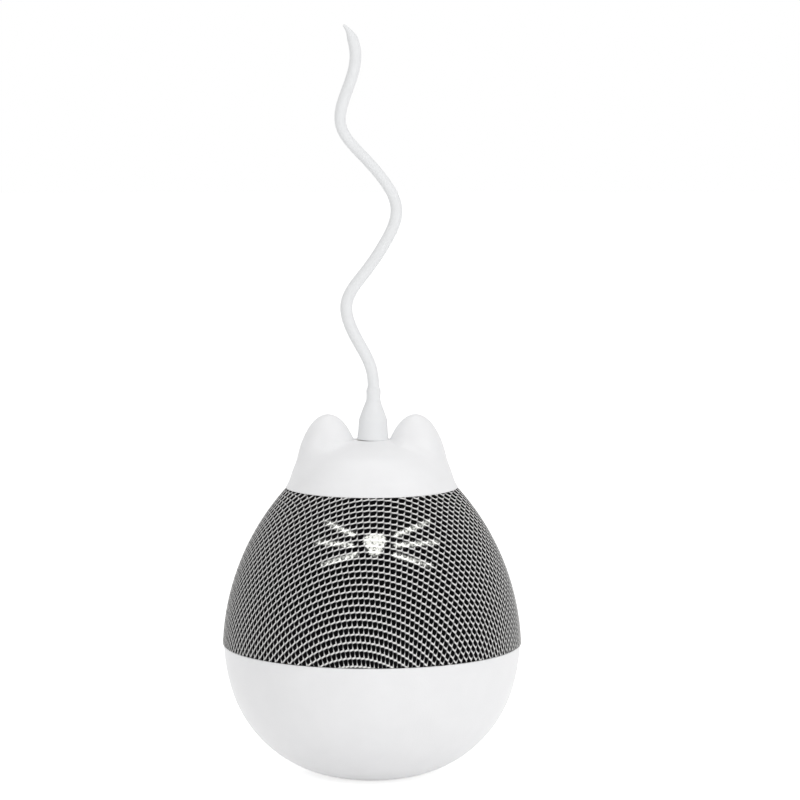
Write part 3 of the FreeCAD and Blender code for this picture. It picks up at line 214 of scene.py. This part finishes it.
# Spark-eroded ABS: dull, with a grain of about 0.25 mm. The shell and the holder are black, and the
# gearbox is dark grey, so that its parts tell apart inside.
for name, deep_tone, pale_tone, dressed in (
        ("black_spark_eroded_abs", "#161617", "#212122", ("upper_shell", "battery_holder")),
        ("grey_spark_eroded_abs", "#3E4146", "#4B4F55", ("gearbox_base", "gearbox_cover"))):
    eroded_abs = finish_named(name)
    place = add(eroded_abs, "TexCoord", {}).outputs["Object"]
    eroded = add(eroded_abs, "TexNoise", {"Vector": place, "Scale": 1000 / 0.25, "Detail": 2.0})
    tone = add(eroded_abs, "Mix", {0: eroded.outputs["Fac"], 6: linear(deep_tone),
                                   7: linear(pale_tone)}, data_type="RGBA")
    matt = add(eroded_abs, "Bump", {"Height": eroded.outputs["Fac"], "Distance": 0.00004})
    moulded = add(eroded_abs, "BsdfPrincipled", {"Base Color": tone.outputs[2], "Roughness": 0.5,
                                                 "Normal": matt.outputs["Normal"], "IOR": 1.53})
    add(eroded_abs, "OutputMaterial", {"Surface": moulded.outputs[0]})
    dress(eroded_abs, *dressed)

# Frosted acrylic: clear, its back dimpled at 0.7 mm to throw the light forward.
frosted_acrylic = finish_named("frosted_acrylic")
place = add(frosted_acrylic, "TexCoord", {}).outputs["Object"]
dimples = add(frosted_acrylic, "TexVoronoi", {"Vector": place, "Scale": 1000 / 0.7})
frost = add(frosted_acrylic, "MapRange", {"Value": dimples.outputs["Distance"], "To Min": 0.25,
                                          "To Max": 0.5})
guide = add(frosted_acrylic, "BsdfPrincipled", {"Base Color": linear("#F7FAFC"), "IOR": 1.49,
                                                "Roughness": frost.outputs[0],
                                                "Transmission Weight": 0.7})
add(frosted_acrylic, "OutputMaterial", {"Surface": guide.outputs[0]})
dress(frosted_acrylic, "light_guide")

# ---- Bowl, battery door and power button ----
# The lower third of the egg is one white ABS moulding, with a door of the same plastic held by two
# screws underneath and a button let into its back. A rubber pad under the door stops it sliding.

# White ABS: moulded in a polished tool, so satin, with flow marks about 9 mm apart that only shift
# the tone a little, a fine grain of 0.5 mm (coarser than the real one, so that it shows) and
# handling dust in the last 3 mm above the floor.
white_abs = finish_named("white_moulded_abs")
place = add(white_abs, "TexCoord", {}).outputs["Object"]
flow = add(white_abs, "TexNoise", {"Vector": place, "Scale": 1000 / 9.0, "Detail": 2.0})
grain = add(white_abs, "TexNoise", {"Vector": place, "Scale": 1000 / 0.5, "Detail": 2.0})
tone = add(white_abs, "Mix", {0: flow.outputs["Fac"], 6: linear("#E9E9EA"), 7: linear("#EFEFF0")},
           data_type="RGBA")
height = add(white_abs, "SeparateXYZ", {"Vector": place}).outputs["Z"]
low = add(white_abs, "MapRange", {"Value": height, "From Min": 0.0, "From Max": 0.003,
                                  "To Min": 0.25, "To Max": 0.0})
dusty = add(white_abs, "Mix", {0: low.outputs[0], 6: tone.outputs[2], 7: linear("#D5D2CB")},
            data_type="RGBA")
gloss = add(white_abs, "MapRange", {"Value": flow.outputs["Fac"], "To Min": 0.34, "To Max": 0.44})
fine = add(white_abs, "Bump", {"Height": grain.outputs["Fac"], "Distance": 0.00003})
satin = add(white_abs, "BsdfPrincipled", {"Base Color": dusty.outputs[2], "IOR": 1.53,
                                          "Roughness": gloss.outputs[0],
                                          "Normal": fine.outputs["Normal"],
                                          "Subsurface Weight": 0.06, "Subsurface Scale": 0.002,
                                          "Subsurface Radius": (1.0, 0.95, 0.9)})
add(white_abs, "OutputMaterial", {"Surface": satin.outputs[0]})
dress(white_abs, "base_bowl", "battery_door", "power_button")

# Moulded rubber: matt grey, with a bloom that clouds it about every 3 mm.
foot_rubber = finish_named("moulded_rubber")
place = add(foot_rubber, "TexCoord", {}).outputs["Object"]
bloom = add(foot_rubber, "TexNoise", {"Vector": place, "Scale": 1000 / 3.0, "Detail": 3.0})
tone = add(foot_rubber, "Mix", {0: bloom.outputs["Fac"], 6: linear("#7C7C7E"),
                                7: linear("#8F8F91")}, data_type="RGBA")
rubber = add(foot_rubber, "BsdfPrincipled", {"Base Color": tone.outputs[2], "Roughness": 0.8})
add(foot_rubber, "OutputMaterial", {"Surface": rubber.outputs[0]})
dress(foot_rubber, "foot_pad")

# ---- Net cover ----
# A black jersey with a net of thick white yarn knitted on it. One round cut is stretched over the
# dome from the top, so its rows and columns stay those of a flat sheet, drawn out down the sides
# and turned a little on the way.
mm = 0.001
cloth_curve, cloth_radius, cloth_widest = 81.7, 49.4, 40.3
net_low, net_high = 43.75, 95.35
seam_tuck = 0.9
yarn_height = 0.16
# How many cells lie between a spot on the dome and the crown, across the toy and from back to
# front: once, three and five times round the toy, each pair growing with the way up the dome.
half_way_up, half_span = 30.0, 27.0
turns_round = [1, 1, 1, 1, 3, 3, 3, 5, 5]
growth = [0, 1, 2, 3, 0, 1, 2, 0, 1]
cells_across = [(24.62, -1.72), (-9.73, 0.51), (-0.83, -0.47), (-0.67, 0.31), (-0.66, 0.35),
                (0.0, 0.25), (1.0, -0.47), (0.33, -0.37), (-0.57, 0.49)]
cells_deep = [(-2.27, 25.31), (2.38, -12.52), (-0.39, -0.71), (-0.08, 0.24), (0.42, 0.2),
              (-0.37, 0.56), (0.09, -0.08), (-0.19, 0.13), (0.24, -0.18)]
net_shift = (0.46, -0.59)


def cells_at(angle, up_dome):
    """Cells from the crown to a spot on the dome, across and deep."""
    level = (up_dome - half_way_up) / half_span
    across, deep = np.full(angle.shape, net_shift[0]), np.full(angle.shape, net_shift[1])
    for times, power, (side_a, front_a), (side_d, front_d) in zip(turns_round, growth, cells_across,
                                                                  cells_deep):
        side, front = np.sin(times * angle) * level ** power, np.cos(times * angle) * level ** power
        across += side_a * side + front_a * front
        deep += side_d * side + front_d * front
    return across, deep


# Half way up is about 25 cells from the crown, and the end of the span 11 cells less, which is near
# enough for Newton's steps to start from.
cells_half_way, cells_in_span = 25.0, 11.0
newton_steps, nudge = 24, 1e-4
most_turn, most_climb = 0.2, 6.0


def on_dome(across, deep):
    """Angle from the front and distance up the dome of points of the flat net."""
    angle = np.arctan2(across, deep)
    up_dome = half_way_up + half_span * (cells_half_way - np.hypot(across, deep)) / cells_in_span
    for _ in range(newton_steps):
        here = cells_at(angle, up_dome)
        turned, raised = cells_at(angle + nudge, up_dome), cells_at(angle, up_dome + nudge)
        grow = [[(there[way] - here[way]) / nudge for there in (turned, raised)] for way in (0, 1)]
        miss = across - here[0], deep - here[1]
        area = grow[0][0] * grow[1][1] - grow[0][1] * grow[1][0]
        turn = (miss[0] * grow[1][1] - miss[1] * grow[0][1]) / area
        climb = (miss[1] * grow[0][0] - miss[0] * grow[1][0]) / area
        angle += np.clip(turn, -most_turn, most_turn)
        up_dome += np.clip(climb, -most_climb, most_climb)
    return angle, up_dome


# One cell is an opening between stitches. A stitch runs up to the right, turns up the side of the
# opening and dives under the stitch above. Each spot of its crest is given as a share of the cell
# across and down, how deep it lies, and how much of it is in the shade of the stitch over it.
crossing = (0.0, 0.02, 0.3, 0.5)
stitch_along = [(0.25, 0.09, 0.1, 0.1), (0.5, 0.03, 0.0, 0.0), (0.76, -0.05, 0.0, 0.0)]
stitch_up = [(0.05, 0.27, 0.45, 0.8), (-0.01, 0.5, 0.35, 0.6), (-0.085, 0.75, 0.1, 0.1)]
opening = [(0.15, 0.285), (0.32, 0.215), (0.55, 0.155), (0.77, 0.125), (0.93, 0.165),
           (0.955, 0.33), (0.895, 0.51), (0.82, 0.66), (0.71, 0.81), (0.53, 0.88), (0.34, 0.915),
           (0.18, 0.92), (0.08, 0.865), (0.065, 0.71), (0.075, 0.55), (0.1, 0.41)]
outline = [(0, 0, crossing)] + [(0, 0, spot) for spot in stitch_along]
outline += [(1, 0, crossing)] + [(1, 0, spot) for spot in stitch_up]
outline += [(1, 1, crossing)] + [(0, 1, spot) for spot in stitch_along[::-1]]
outline += [(0, 1, crossing)] + [(0, 0, spot) for spot in stitch_up[::-1]]
# Between crest and opening the yarn has a shoulder. It is this deep and shaded where the crest
# isn't, and takes on this share of what the crest is, but at one corner the stitch lies on top.
shoulder_depth, depth_share = 0.14, 0.7
shoulder_shade, shade_share = 0.1, 0.9
on_top = 8
# The cloth bulges a little in the middle of an opening.
opening_middle, middle_depth = (0.5, 0.52), 0.94
# Cells are tried this far from the crown each way. Those between these distances up the dome are
# made, from a little below the seam to a little past the collar, and the net is cut there later.
half = 42
lowest_cell, highest_cell = 1.5, 62.5
grid = np.arange(-half, half) + 0.5
columns_at, rows_at = np.meshgrid(grid, grid)
middle_up = on_dome(columns_at.ravel(), rows_at.ravel())[1].reshape(columns_at.shape)
points, faces, on_cloth = [], [], []
shared_points = {}


def point_at(u, v, depth, shade):
    """Adds a point of the flat net and gives its number."""
    points.append((u, v, depth, shade))
    return len(points) - 1


for column in range(-half, half):
    for row in range(-half, half):
        if not lowest_cell < middle_up[row + half, column + half] < highest_cell:
            continue
        crest, shoulder, foot = [], [], []
        for step, (stitch, (a, b)) in enumerate(zip(outline, opening)):
            right_by, down_by, (u, v, depth, shade) = stitch
            key = (column + right_by, row + down_by, u, v)
            if key not in shared_points:
                shared_points[key] = point_at(key[0] + u, key[1] + v, depth, shade)
            crest.append(shared_points[key])
            if step == on_top:
                depth, shade = 0.0, 0.0
            shoulder.append(point_at(column + 0.5 * (right_by + u + a),
                                     row + 0.5 * (down_by + v + b),
                                     shoulder_depth + depth_share * depth,
                                     shoulder_shade + shade_share * shade))
            foot.append(point_at(column + a, row + b, 1.0, 1.0))
        centre = point_at(column + opening_middle[0], row + opening_middle[1], middle_depth, 1.0)
        for this in range(len(outline)):
            then = (this + 1) % len(outline)
            faces.append((crest[this], crest[then], shoulder[then], shoulder[this]))
            faces.append((shoulder[this], shoulder[then], foot[then], foot[this]))
            faces.append((foot[this], foot[then], centre))
            on_cloth += [0, 0, 1]

flat_points = np.array(points)
angle, up_dome = on_dome(flat_points[:, 0], flat_points[:, 1])
dome_turn = up_dome / cloth_curve
sink = cloth_curve - yarn_height * flat_points[:, 2]
radius = cloth_radius - cloth_curve + sink * np.cos(dome_turn)
place_mm = np.stack([radius * np.sin(angle), -radius * np.cos(angle),
                     cloth_widest + sink * np.sin(dome_turn)], 1)

net_mesh = bpy.data.meshes.new("net_cover")
net_mesh.from_pydata((place_mm * mm).tolist(), [], faces)
net_mesh.polygons.foreach_set("material_index", on_cloth)
net_mesh.polygons.foreach_set("use_smooth", [True] * len(faces))
# How much of each point lies in shade. The yarn's material paints it as grey in its colour.
shaded = net_mesh.attributes.new("shaded", "FLOAT", "POINT")
shaded.data.foreach_set("value", flat_points[:, 3].astype(np.float32))
trim = bmesh.new()
trim.from_mesh(net_mesh)
for height, upward in ((net_low, -1), (net_high, 1)):
    bmesh.ops.bisect_plane(trim, geom=trim.verts[:] + trim.edges[:] + trim.faces[:], dist=1e-7,
                           plane_co=(0, 0, height * mm), plane_no=(0, 0, upward), clear_outer=True)
# The cut edge at the seam is tucked inwards behind the bowl's lip.
rim = [e for e in trim.edges if e.is_boundary
       and all(abs(v.co.z - net_low * mm) < 1e-6 for v in e.verts)]
tucked = bmesh.ops.extrude_edge_only(trim, edges=rim)["geom"]
for vert in [g for g in tucked if isinstance(g, bmesh.types.BMVert)]:
    inward = Vector((vert.co.x, vert.co.y, 0)).normalized()
    vert.co -= inward * seam_tuck * mm
bmesh.ops.recalc_face_normals(trim, faces=trim.faces[:])
trim.to_mesh(net_mesh)
trim.free()

# The nose and the whiskers light the cloth from behind. A whisker is a run from point to point,
# across and up, that fades outwards. The nose is a rounded triangle that stands on its tip. The
# light fades over the spill at their edges.
nose_corners = [(-0.5, 82.8), (2.4, 82.8), (0.95, 80.5)]
nose_round = 1.9
nose_shine = 1.4
whiskers = [((-5.98, 84.62), (-14.68, 87.94)), ((-6.3, 81.5), (-17.7, 81.96)),
            ((-5.17, 78.7), (-15.89, 75.45)), ((7.62, 84.43), (18.27, 87.83)),
            ((7.61, 81.47), (20.97, 81.61)), ((7.44, 78.5), (18.98, 74.79))]
whisker_half = 0.5
spill = 0.7
whisker_near, whisker_far = 1.1, 0.4
spots = np.array([v.co for v in net_mesh.vertices]) / mm


def away_from(start, end):
    """Distance of every point of the net from a run on the face, and how far along it that is."""
    a, b = np.array(start), np.array(end)
    flat = spots[:, [0, 2]]
    share = np.clip(((flat - a) @ (b - a)) / ((b - a) @ (b - a)), 0, 1)
    return np.linalg.norm(flat - a - share[:, None] * (b - a), axis=1), share


shine = np.zeros(len(spots))
for start, end in whiskers:
    away, share = away_from(start, end)
    edge = np.clip(0.5 - (away - whisker_half) / spill, 0, 1)
    shine = np.maximum(shine, edge * (whisker_near + (whisker_far - whisker_near) * share))
inside = np.ones(len(spots), bool)
near_nose = np.full(len(spots), 1e3)
for index, (ax, az) in enumerate(nose_corners):
    bx, bz = nose_corners[(index + 1) % 3]
    cross = (bx - ax) * (spots[:, 2] - az) - (bz - az) * (spots[:, 0] - ax)
    inside &= cross < 0
    near_nose = np.minimum(near_nose, away_from((ax, az), (bx, bz))[0])
near_nose = np.where(inside, -near_nose, near_nose) - nose_round
shine = np.maximum(shine, nose_shine * np.clip(0.5 - near_nose / spill, 0, 1))
glow = net_mesh.attributes.new("glow", "FLOAT", "POINT")
glow.data.foreach_set("value", np.where(spots[:, 1] < 0, shine, 0).astype(np.float32))

# Polyester net yarn: white and soft, a bundle of filaments that shows as streaks about 0.35 mm
# apart (coarser than real, so that it shows). Its colour is painted grey where one stitch dives
# under the next and down its shoulder to the opening. This is painted shade of the stitch above,
# partly also the thin yarn letting the black jersey show through.
net_yarn = finish_named("white_polyester_yarn")
place = add(net_yarn, "TexCoord", {}).outputs["Object"]
fibres = add(net_yarn, "TexNoise", {"Vector": place, "Scale": 1000 / 0.35, "Detail": 3.0})
fluff = add(net_yarn, "Mix", {0: fibres.outputs["Fac"], 6: linear("#E6E5E3"), 7: linear("#F9F8F7")},
            data_type="RGBA")
# Painted shade: the shaded points grey the yarn's colour towards #4A4A4B.
painted_shade = add(net_yarn, "Attribute", {}, attribute_name="shaded")
painted_shade = add(net_yarn, "MapRange", {"Value": painted_shade.outputs["Fac"], "From Max": 0.8})
tone = add(net_yarn, "Mix", {0: painted_shade.outputs[0], 6: fluff.outputs[2], 7: linear("#4A4A4B")},
           data_type="RGBA")
lift = add(net_yarn, "Bump", {"Height": fibres.outputs["Fac"], "Distance": 0.00008})
lit = add(net_yarn, "Attribute", {}, attribute_name="glow")
speckle = add(net_yarn, "TexNoise", {"Vector": place, "Scale": 1000 / 0.7, "Detail": 2.0})
patchy = add(net_yarn, "MapRange", {"Value": speckle.outputs["Fac"], "From Min": 0.38,
                                    "From Max": 0.6, "To Min": 0.75, "To Max": 2.6})
bright = add(net_yarn, "Math", {0: lit.outputs["Fac"], 1: patchy.outputs[0]}, operation="MULTIPLY",
             use_clamp=True)
glare = add(net_yarn, "Mix", {0: bright.outputs[0], 6: linear("#000000"), 7: linear("#F6F7F1")},
            data_type="RGBA")
yarn = add(net_yarn, "BsdfPrincipled", {"Base Color": tone.outputs[2], "Roughness": 0.75,
                                        "Normal": lift.outputs["Normal"], "Sheen Weight": 0.1,
                                        "Emission Color": glare.outputs[2],
                                        "Emission Strength": 0.75})
add(net_yarn, "OutputMaterial", {"Surface": yarn.outputs[0]})

# Black jersey: fine ribs 0.5 mm apart in the openings of the net, dull, with the light of the
# nose and whiskers coming through it.
black_jersey = finish_named("black_jersey")
place = add(black_jersey, "TexCoord", {}).outputs["Object"]
ribs = add(black_jersey, "TexNoise", {"Vector": place, "Scale": 1000 / 0.5, "Detail": 2.0})
tone = add(black_jersey, "Mix", {0: ribs.outputs["Fac"], 6: linear("#030304"),
                                 7: linear("#0B0B0C")}, data_type="RGBA")
lit = add(black_jersey, "Attribute", {}, attribute_name="glow")
speckle = add(black_jersey, "TexNoise", {"Vector": place, "Scale": 1000 / 0.7, "Detail": 2.0})
patchy = add(black_jersey, "MapRange", {"Value": speckle.outputs["Fac"], "From Min": 0.38,
                                        "From Max": 0.6, "To Min": 0.2, "To Max": 1.4})
bright = add(black_jersey, "Math", {0: lit.outputs["Fac"], 1: patchy.outputs[0]},
             operation="MULTIPLY", use_clamp=True)
glare = add(black_jersey, "Mix", {0: bright.outputs[0], 6: linear("#000000"), 7: linear("#F6F7F1")},
            data_type="RGBA")
jersey = add(black_jersey, "BsdfPrincipled", {"Base Color": tone.outputs[2], "Roughness": 0.9,
                                              "Specular IOR Level": 0.03,
                                              "Emission Color": glare.outputs[2],
                                              "Emission Strength": 1.0})
add(black_jersey, "OutputMaterial", {"Surface": jersey.outputs[0]})

net_cover = bpy.data.objects.new("net_cover", net_mesh)
bpy.context.scene.collection.objects.link(net_cover)
net_mesh.materials.append(net_yarn)
net_mesh.materials.append(black_jersey)
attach(net_cover, "housing")
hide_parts("mesh_cover")

# ---- Head cap ----
# A white ABS cap with two ears, moulded in one. Its foot flares out over the edge of the net, and
# the ears grow out of its wall without an edge between them.
cap_foot, cap_foot_high = 28.3, 95.45
cap_waist, cap_waist_high = 26.2, 99.5
cap_top, cap_seat, cap_edge = 111.14, 5.9, 4.5
cap_lean, cap_belly, foot_flare = 0.24, 0.0145, 1.3
cap_slope, cap_fall = 0.12, 0.014
ear_apart, ear_middle = 14.35, 94.0
ear_half = np.array([11.4, 10.4, 25.5])
ear_blend, ear_run_out = 3.2, 7.0
peg_hole = 5.3
heart = np.array([0.0, 0.0, 88.0])


def outside_cap(spot):
    """Distance of points outside the cap's skin, negative inside it."""
    across, high = np.hypot(spot[..., 0], spot[..., 1]), spot[..., 2]
    climb = np.maximum(high - cap_waist_high, 0)
    flare = np.clip((cap_waist_high - high) / (cap_waist_high - cap_foot_high), 0, 1.5)
    wall = cap_waist - cap_lean * climb - cap_belly * climb ** 2
    wall += (cap_foot - cap_waist) * flare ** foot_flare
    side = across - wall + cap_edge
    beyond = np.maximum(across - cap_seat, 0)
    lid = high - cap_top + cap_slope * beyond + cap_fall * beyond ** 2 + cap_edge
    body = (np.hypot(np.maximum(side, 0), np.maximum(lid, 0)) + np.minimum(np.maximum(side, lid), 0)
            - cap_edge)
    # The fillet between ear and dome runs out to nothing at the seat under the tail's skirt.
    fillet = ear_blend * np.clip((across - cap_seat) / ear_run_out, 0.01, 1)
    for way in (-1, 1):
        from_ear = spot - np.array([way * ear_apart, 0, ear_middle])
        stretch = np.linalg.norm(from_ear / ear_half, axis=-1)
        ear = stretch * (stretch - 1) / np.linalg.norm(from_ear / ear_half ** 2, axis=-1)
        mix = np.clip(0.5 + 0.5 * (ear - body) / fillet, 0, 1)
        body = ear * (1 - mix) + body * mix - fillet * mix * (1 - mix)
    return body


# The skin is found along rays from the heart, from the foot up to the hole for the peg.
sectors, rings, halvings = 256, 84, 40
nearest, farthest = 15.0, 45.0
lowest = math.atan2(cap_foot, cap_foot_high - heart[2])
highest = math.atan2(peg_hole, cap_top - heart[2])
bearing = np.linspace(0, 2 * np.pi, sectors, endpoint=False)
tilt = np.linspace(lowest, highest, rings)
aim = np.stack([np.sin(tilt)[:, None] * np.cos(bearing), np.sin(tilt)[:, None] * np.sin(bearing),
                np.repeat(np.cos(tilt)[:, None], sectors, 1)], -1)
near, far = np.full(aim.shape[:2], nearest), np.full(aim.shape[:2], farthest)
for _ in range(halvings):
    reach = (near + far) / 2
    out = outside_cap(heart + aim * reach[..., None]) > 0
    far = np.where(out, reach, far)
    near = np.where(out, near, reach)
loops = list(heart + aim * near[..., None])
loops[0][:, 2] = cap_foot_high
circle = np.stack([np.cos(bearing), np.sin(bearing)], 1)
rim_line = loops[-1][:, 2]
# The edge of the hole is rounded, this far in and down, and under it the inner wall runs back to
# the foot through rings of these radii and heights.
hole_edge = [(0.07, 0.12), (0.12, 0.35)]
inner_wall = [(peg_hole - 0.12, 108.7), (16.5, 106.6), (20.6, 103.0), (23.6, 98.2), (26.2, 95.6),
              (27.8, 95.3)]
loops += [np.column_stack([circle * (peg_hole - inwards), rim_line - down])
          for inwards, down in hole_edge]
loops += [np.column_stack([circle * within, np.full(sectors, high)]) for within, high in inner_wall]
corners = np.concatenate(loops) * mm
quads = [(a * sectors + b, a * sectors + (b + 1) % sectors,
          (a + 1) % len(loops) * sectors + (b + 1) % sectors, (a + 1) % len(loops) * sectors + b)
         for a in range(len(loops)) for b in range(sectors)]
cap_mesh = bpy.data.meshes.new("eared_cap")
cap_mesh.from_pydata(corners.tolist(), [], quads)
cap_mesh.polygons.foreach_set("use_smooth", [True] * len(quads))
cap_mesh.materials.append(white_abs)
eared_cap = bpy.data.objects.new("eared_cap", cap_mesh)
bpy.context.scene.collection.objects.link(eared_cap)
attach(eared_cap, "housing")
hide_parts("head_cap")

# ---- Tail ----
# One soft silicone moulding: a skirt with a socket that hides the peg, and a long wavy tail that
# ends in a hooked, pointed tip. It pushes onto the peg, pulls off again, and goes round with it.
tail_foot = 111.2
socket_radius, socket_deep = 2.9, 9.6
# Points that the middle line bends between, across and up from the foot, and the tail's radius at
# stops along that line.
tail_line = [(0.3, 0.0), (0.4, 3.95), (0.3, 11.37), (1.04, 23.49), (-5.3, 32.86), (-10.51, 45.09),
             (-2.22, 54.49), (3.7, 63.16), (10.12, 74.99), (4.31, 85.29), (-3.59, 93.7),
             (-12.3, 102.72), (-7.79, 114.75), (-3.93, 125.2), (-6.6, 133.2), (-9.15, 135.4)]
thickness = [(0.0, 5.3), (0.2, 5.3), (0.6, 5.07), (1.4, 5.05), (2.5, 4.9), (6.6, 4.62),
             (7.6, 4.3), (9.1, 3.75), (10.8, 3.15), (12.3, 2.55), (13.4, 2.28), (15.9, 2.38),
             (16.5, 2.3), (17.1, 1.98), (18.2, 1.9), (30.0, 1.95), (40.0, 2.0), (64.0, 1.9),
             (80.0, 1.95), (92.0, 1.75), (112.0, 1.75), (122.0, 1.92), (140.0, 1.9), (144.2, 1.78),
             (145.4, 1.5), (146.6, 1.08), (148.2, 0.68), (149.4, 0.42), (150.0, 0.12)]
line = bpy.data.curves.new("tail_line", "CURVE")
line.dimensions = "3D"
run = line.splines.new("NURBS")
run.points.add(len(tail_line) - 1)
for spot, (across, up) in zip(run.points, tail_line):
    spot.co = (across * mm, 0, (tail_foot + up) * mm, 1)
run.order_u = 4
run.use_endpoint_u = True
line.resolution_u = 48
guide_line = bpy.data.objects.new("tail_line", line)
bpy.context.scene.collection.objects.link(guide_line)
traced = bpy.data.meshes.new_from_object(guide_line)
track = np.array([v.co for v in traced.vertices]) / mm
bpy.data.objects.remove(guide_line)
bpy.data.curves.remove(line)
bpy.data.meshes.remove(traced)
walked = np.concatenate([[0], np.cumsum(np.linalg.norm(np.diff(track, axis=0), axis=1))])
# Rings are evenly spaced, with one more at each turn of the thickness, and none closer to it.
even_rings, ring_gap = 240, 0.15
turns = np.array([stop for stop, _ in thickness if stop < walked[-1]])
stops = np.linspace(0, walked[-1], even_rings)
stops = stops[np.abs(stops[:, None] - turns).min(axis=1) > ring_gap]
stops = np.sort(np.concatenate([stops, turns]))
track = np.column_stack([np.interp(stops, walked, track[:, axis]) for axis in range(3)])
ahead = np.gradient(track, axis=0)
ahead /= np.linalg.norm(ahead, axis=1)[:, None]
thick = np.interp(stops, *zip(*thickness))
sides = 32
wheel = np.linspace(0, 2 * np.pi, sides, endpoint=False)
right = np.column_stack([ahead[:, 2], np.zeros(len(track)), -ahead[:, 0]])
tube = (track[:, None] + thick[:, None, None] * (np.cos(wheel)[None, :, None] * right[:, None]
        + np.sin(wheel)[None, :, None] * np.array([0, 1, 0])))
socket = [np.column_stack([socket_radius * np.cos(wheel), socket_radius * np.sin(wheel),
                           np.full(sides, high)])
          for high in (tail_foot + socket_deep, tail_foot)]
loops = socket + list(tube)
corners = np.concatenate(loops) * mm
quads = [(a * sides + b, a * sides + (b + 1) % sides, (a + 1) * sides + (b + 1) % sides,
          (a + 1) * sides + b) for a in range(len(loops) - 1) for b in range(sides)]
quads += [tuple(range(sides))[::-1], tuple((len(loops) - 1) * sides + b for b in range(sides))]
tail_mesh = bpy.data.meshes.new("silicone_tail")
tail_mesh.from_pydata(corners.tolist(), [], quads)
tail_mesh.polygons.foreach_set("use_smooth", [True] * len(quads))

# Silicone rubber: white and matt, with a soft bloom about 6 mm across and the fine drag marks of
# handling, 0.8 mm.
silicone = finish_named("white_silicone")
place = add(silicone, "TexCoord", {}).outputs["Object"]
bloom = add(silicone, "TexNoise", {"Vector": place, "Scale": 1000 / 6.0, "Detail": 2.0})
drag = add(silicone, "TexNoise", {"Vector": place, "Scale": 1000 / 0.8, "Detail": 2.0})
tone = add(silicone, "Mix", {0: bloom.outputs["Fac"], 6: linear("#E3E4E5"), 7: linear("#EAEBEC")},
           data_type="RGBA")
gloss = add(silicone, "MapRange", {"Value": drag.outputs["Fac"], "To Min": 0.48, "To Max": 0.62})
skin_marks = add(silicone, "Bump", {"Height": drag.outputs["Fac"], "Distance": 0.00001})
soft = add(silicone, "BsdfPrincipled", {"Base Color": tone.outputs[2], "IOR": 1.41,
                                        "Roughness": gloss.outputs[0],
                                        "Normal": skin_marks.outputs["Normal"]})
add(silicone, "OutputMaterial", {"Surface": soft.outputs[0]})
tail_mesh.materials.append(silicone)
silicone_tail = bpy.data.objects.new("silicone_tail", tail_mesh)
bpy.context.scene.collection.objects.link(silicone_tail)
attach(silicone_tail, "tail_piece")
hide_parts("tail")

# ---- Floor, light and camera ----
# A pale floor that only shows the toy's soft shadow, in a white room, lit by large soft lamps from
# the front right, the left and above, and seen through a long lens from a little above.
floor_half = 4.0
floor_mesh = bpy.data.meshes.new("floor")
floor_mesh.from_pydata([(-floor_half, -floor_half, 0), (floor_half, -floor_half, 0),
                        (floor_half, floor_half, 0), (-floor_half, floor_half, 0)], [],
                       [(0, 1, 2, 3)])
floor = bpy.data.objects.new("floor", floor_mesh)
bpy.context.scene.collection.objects.link(floor)
pale = finish_named("pale_floor")
eye = add(pale, "LightPath", {})
seen = add(pale, "Math", {0: eye.outputs["Is Camera Ray"], 1: eye.outputs["Is Glossy Ray"]},
           operation="MAXIMUM")
seen = add(pale, "Math", {0: seen.outputs[0], 1: eye.outputs["Is Transmission Ray"]},
           operation="MAXIMUM")
matt = add(pale, "BsdfDiffuse", {"Color": linear("#EFEFEF")})
lift = add(pale, "MapRange", {"Value": seen.outputs[0], "To Min": 0.1, "To Max": 0.62})
white = add(pale, "Emission", {"Color": linear("#FFFFFF"), "Strength": lift.outputs[0]})
layers = add(pale, "AddShader", {0: matt.outputs[0], 1: white.outputs[0]})
add(pale, "OutputMaterial", {"Surface": layers.outputs[0]})
floor_mesh.materials.append(pale)

world = bpy.data.worlds.new("white_room")
bpy.context.scene.world = world
world.use_nodes = True
world.node_tree.nodes.clear()
eye = add(world, "LightPath", {})
seen = add(world, "Math", {0: eye.outputs["Is Camera Ray"], 1: eye.outputs["Is Glossy Ray"]},
           operation="MAXIMUM")
seen = add(world, "Math", {0: seen.outputs[0], 1: eye.outputs["Is Transmission Ray"]},
           operation="MAXIMUM")
room = add(world, "MapRange", {"Value": seen.outputs[0], "To Min": 0.61, "To Max": 1.0})
air = add(world, "Background", {"Color": linear("#FFFFFF"), "Strength": room.outputs[0]})
add(world, "OutputWorld", {"Surface": air.outputs[0]})

lamp_aim = Vector((0, 0, 0.07))
for name, spot, size, power in (("right_softbox", (0.75, -1.0, 0.47), 0.8, 5.0),
                                ("left_softbox", (-0.9, -0.8, 0.7), 0.7, 1.9),
                                ("top_softbox", (0.0, 0.1, 1.3), 0.9, 2.7)):
    lamp = bpy.data.lights.new(name, "AREA")
    lamp.shape = "SQUARE"
    lamp.size = size
    lamp.energy = power
    stand = bpy.data.objects.new(name, lamp)
    bpy.context.scene.collection.objects.link(stand)
    stand.location = spot
    stand.rotation_euler = (lamp_aim - Vector(spot)).to_track_quat("-Z", "Y").to_euler()

# The camera stands 1.2 m from the middle of the dome, 9.05 degrees above it, and looks a little
# higher and to the right, where the middle of the picture is.
picture_size, focal_pixels = 800, 3630
middle_across, middle_down = 371.7, 593.2
camera_far, dome_middle = 1.2, 0.06
lens_high = math.radians(9.05)
camera = bpy.data.cameras.new("camera")
camera.sensor_width = 36.0
camera.lens = focal_pixels / picture_size * camera.sensor_width
viewer = bpy.data.objects.new("camera", camera)
bpy.context.scene.collection.objects.link(viewer)
viewer.location = (0, -camera_far * math.cos(lens_high),
                   dome_middle + camera_far * math.sin(lens_high))
tip_up = math.atan((middle_down - picture_size / 2) / focal_pixels) - lens_high
swing = math.atan((picture_size / 2 - middle_across) / focal_pixels)
viewer.rotation_euler = (math.pi / 2 + tip_up, 0, -swing)
bpy.context.scene.camera = viewer
bpy.context.scene.view_settings.view_transform = "Standard"
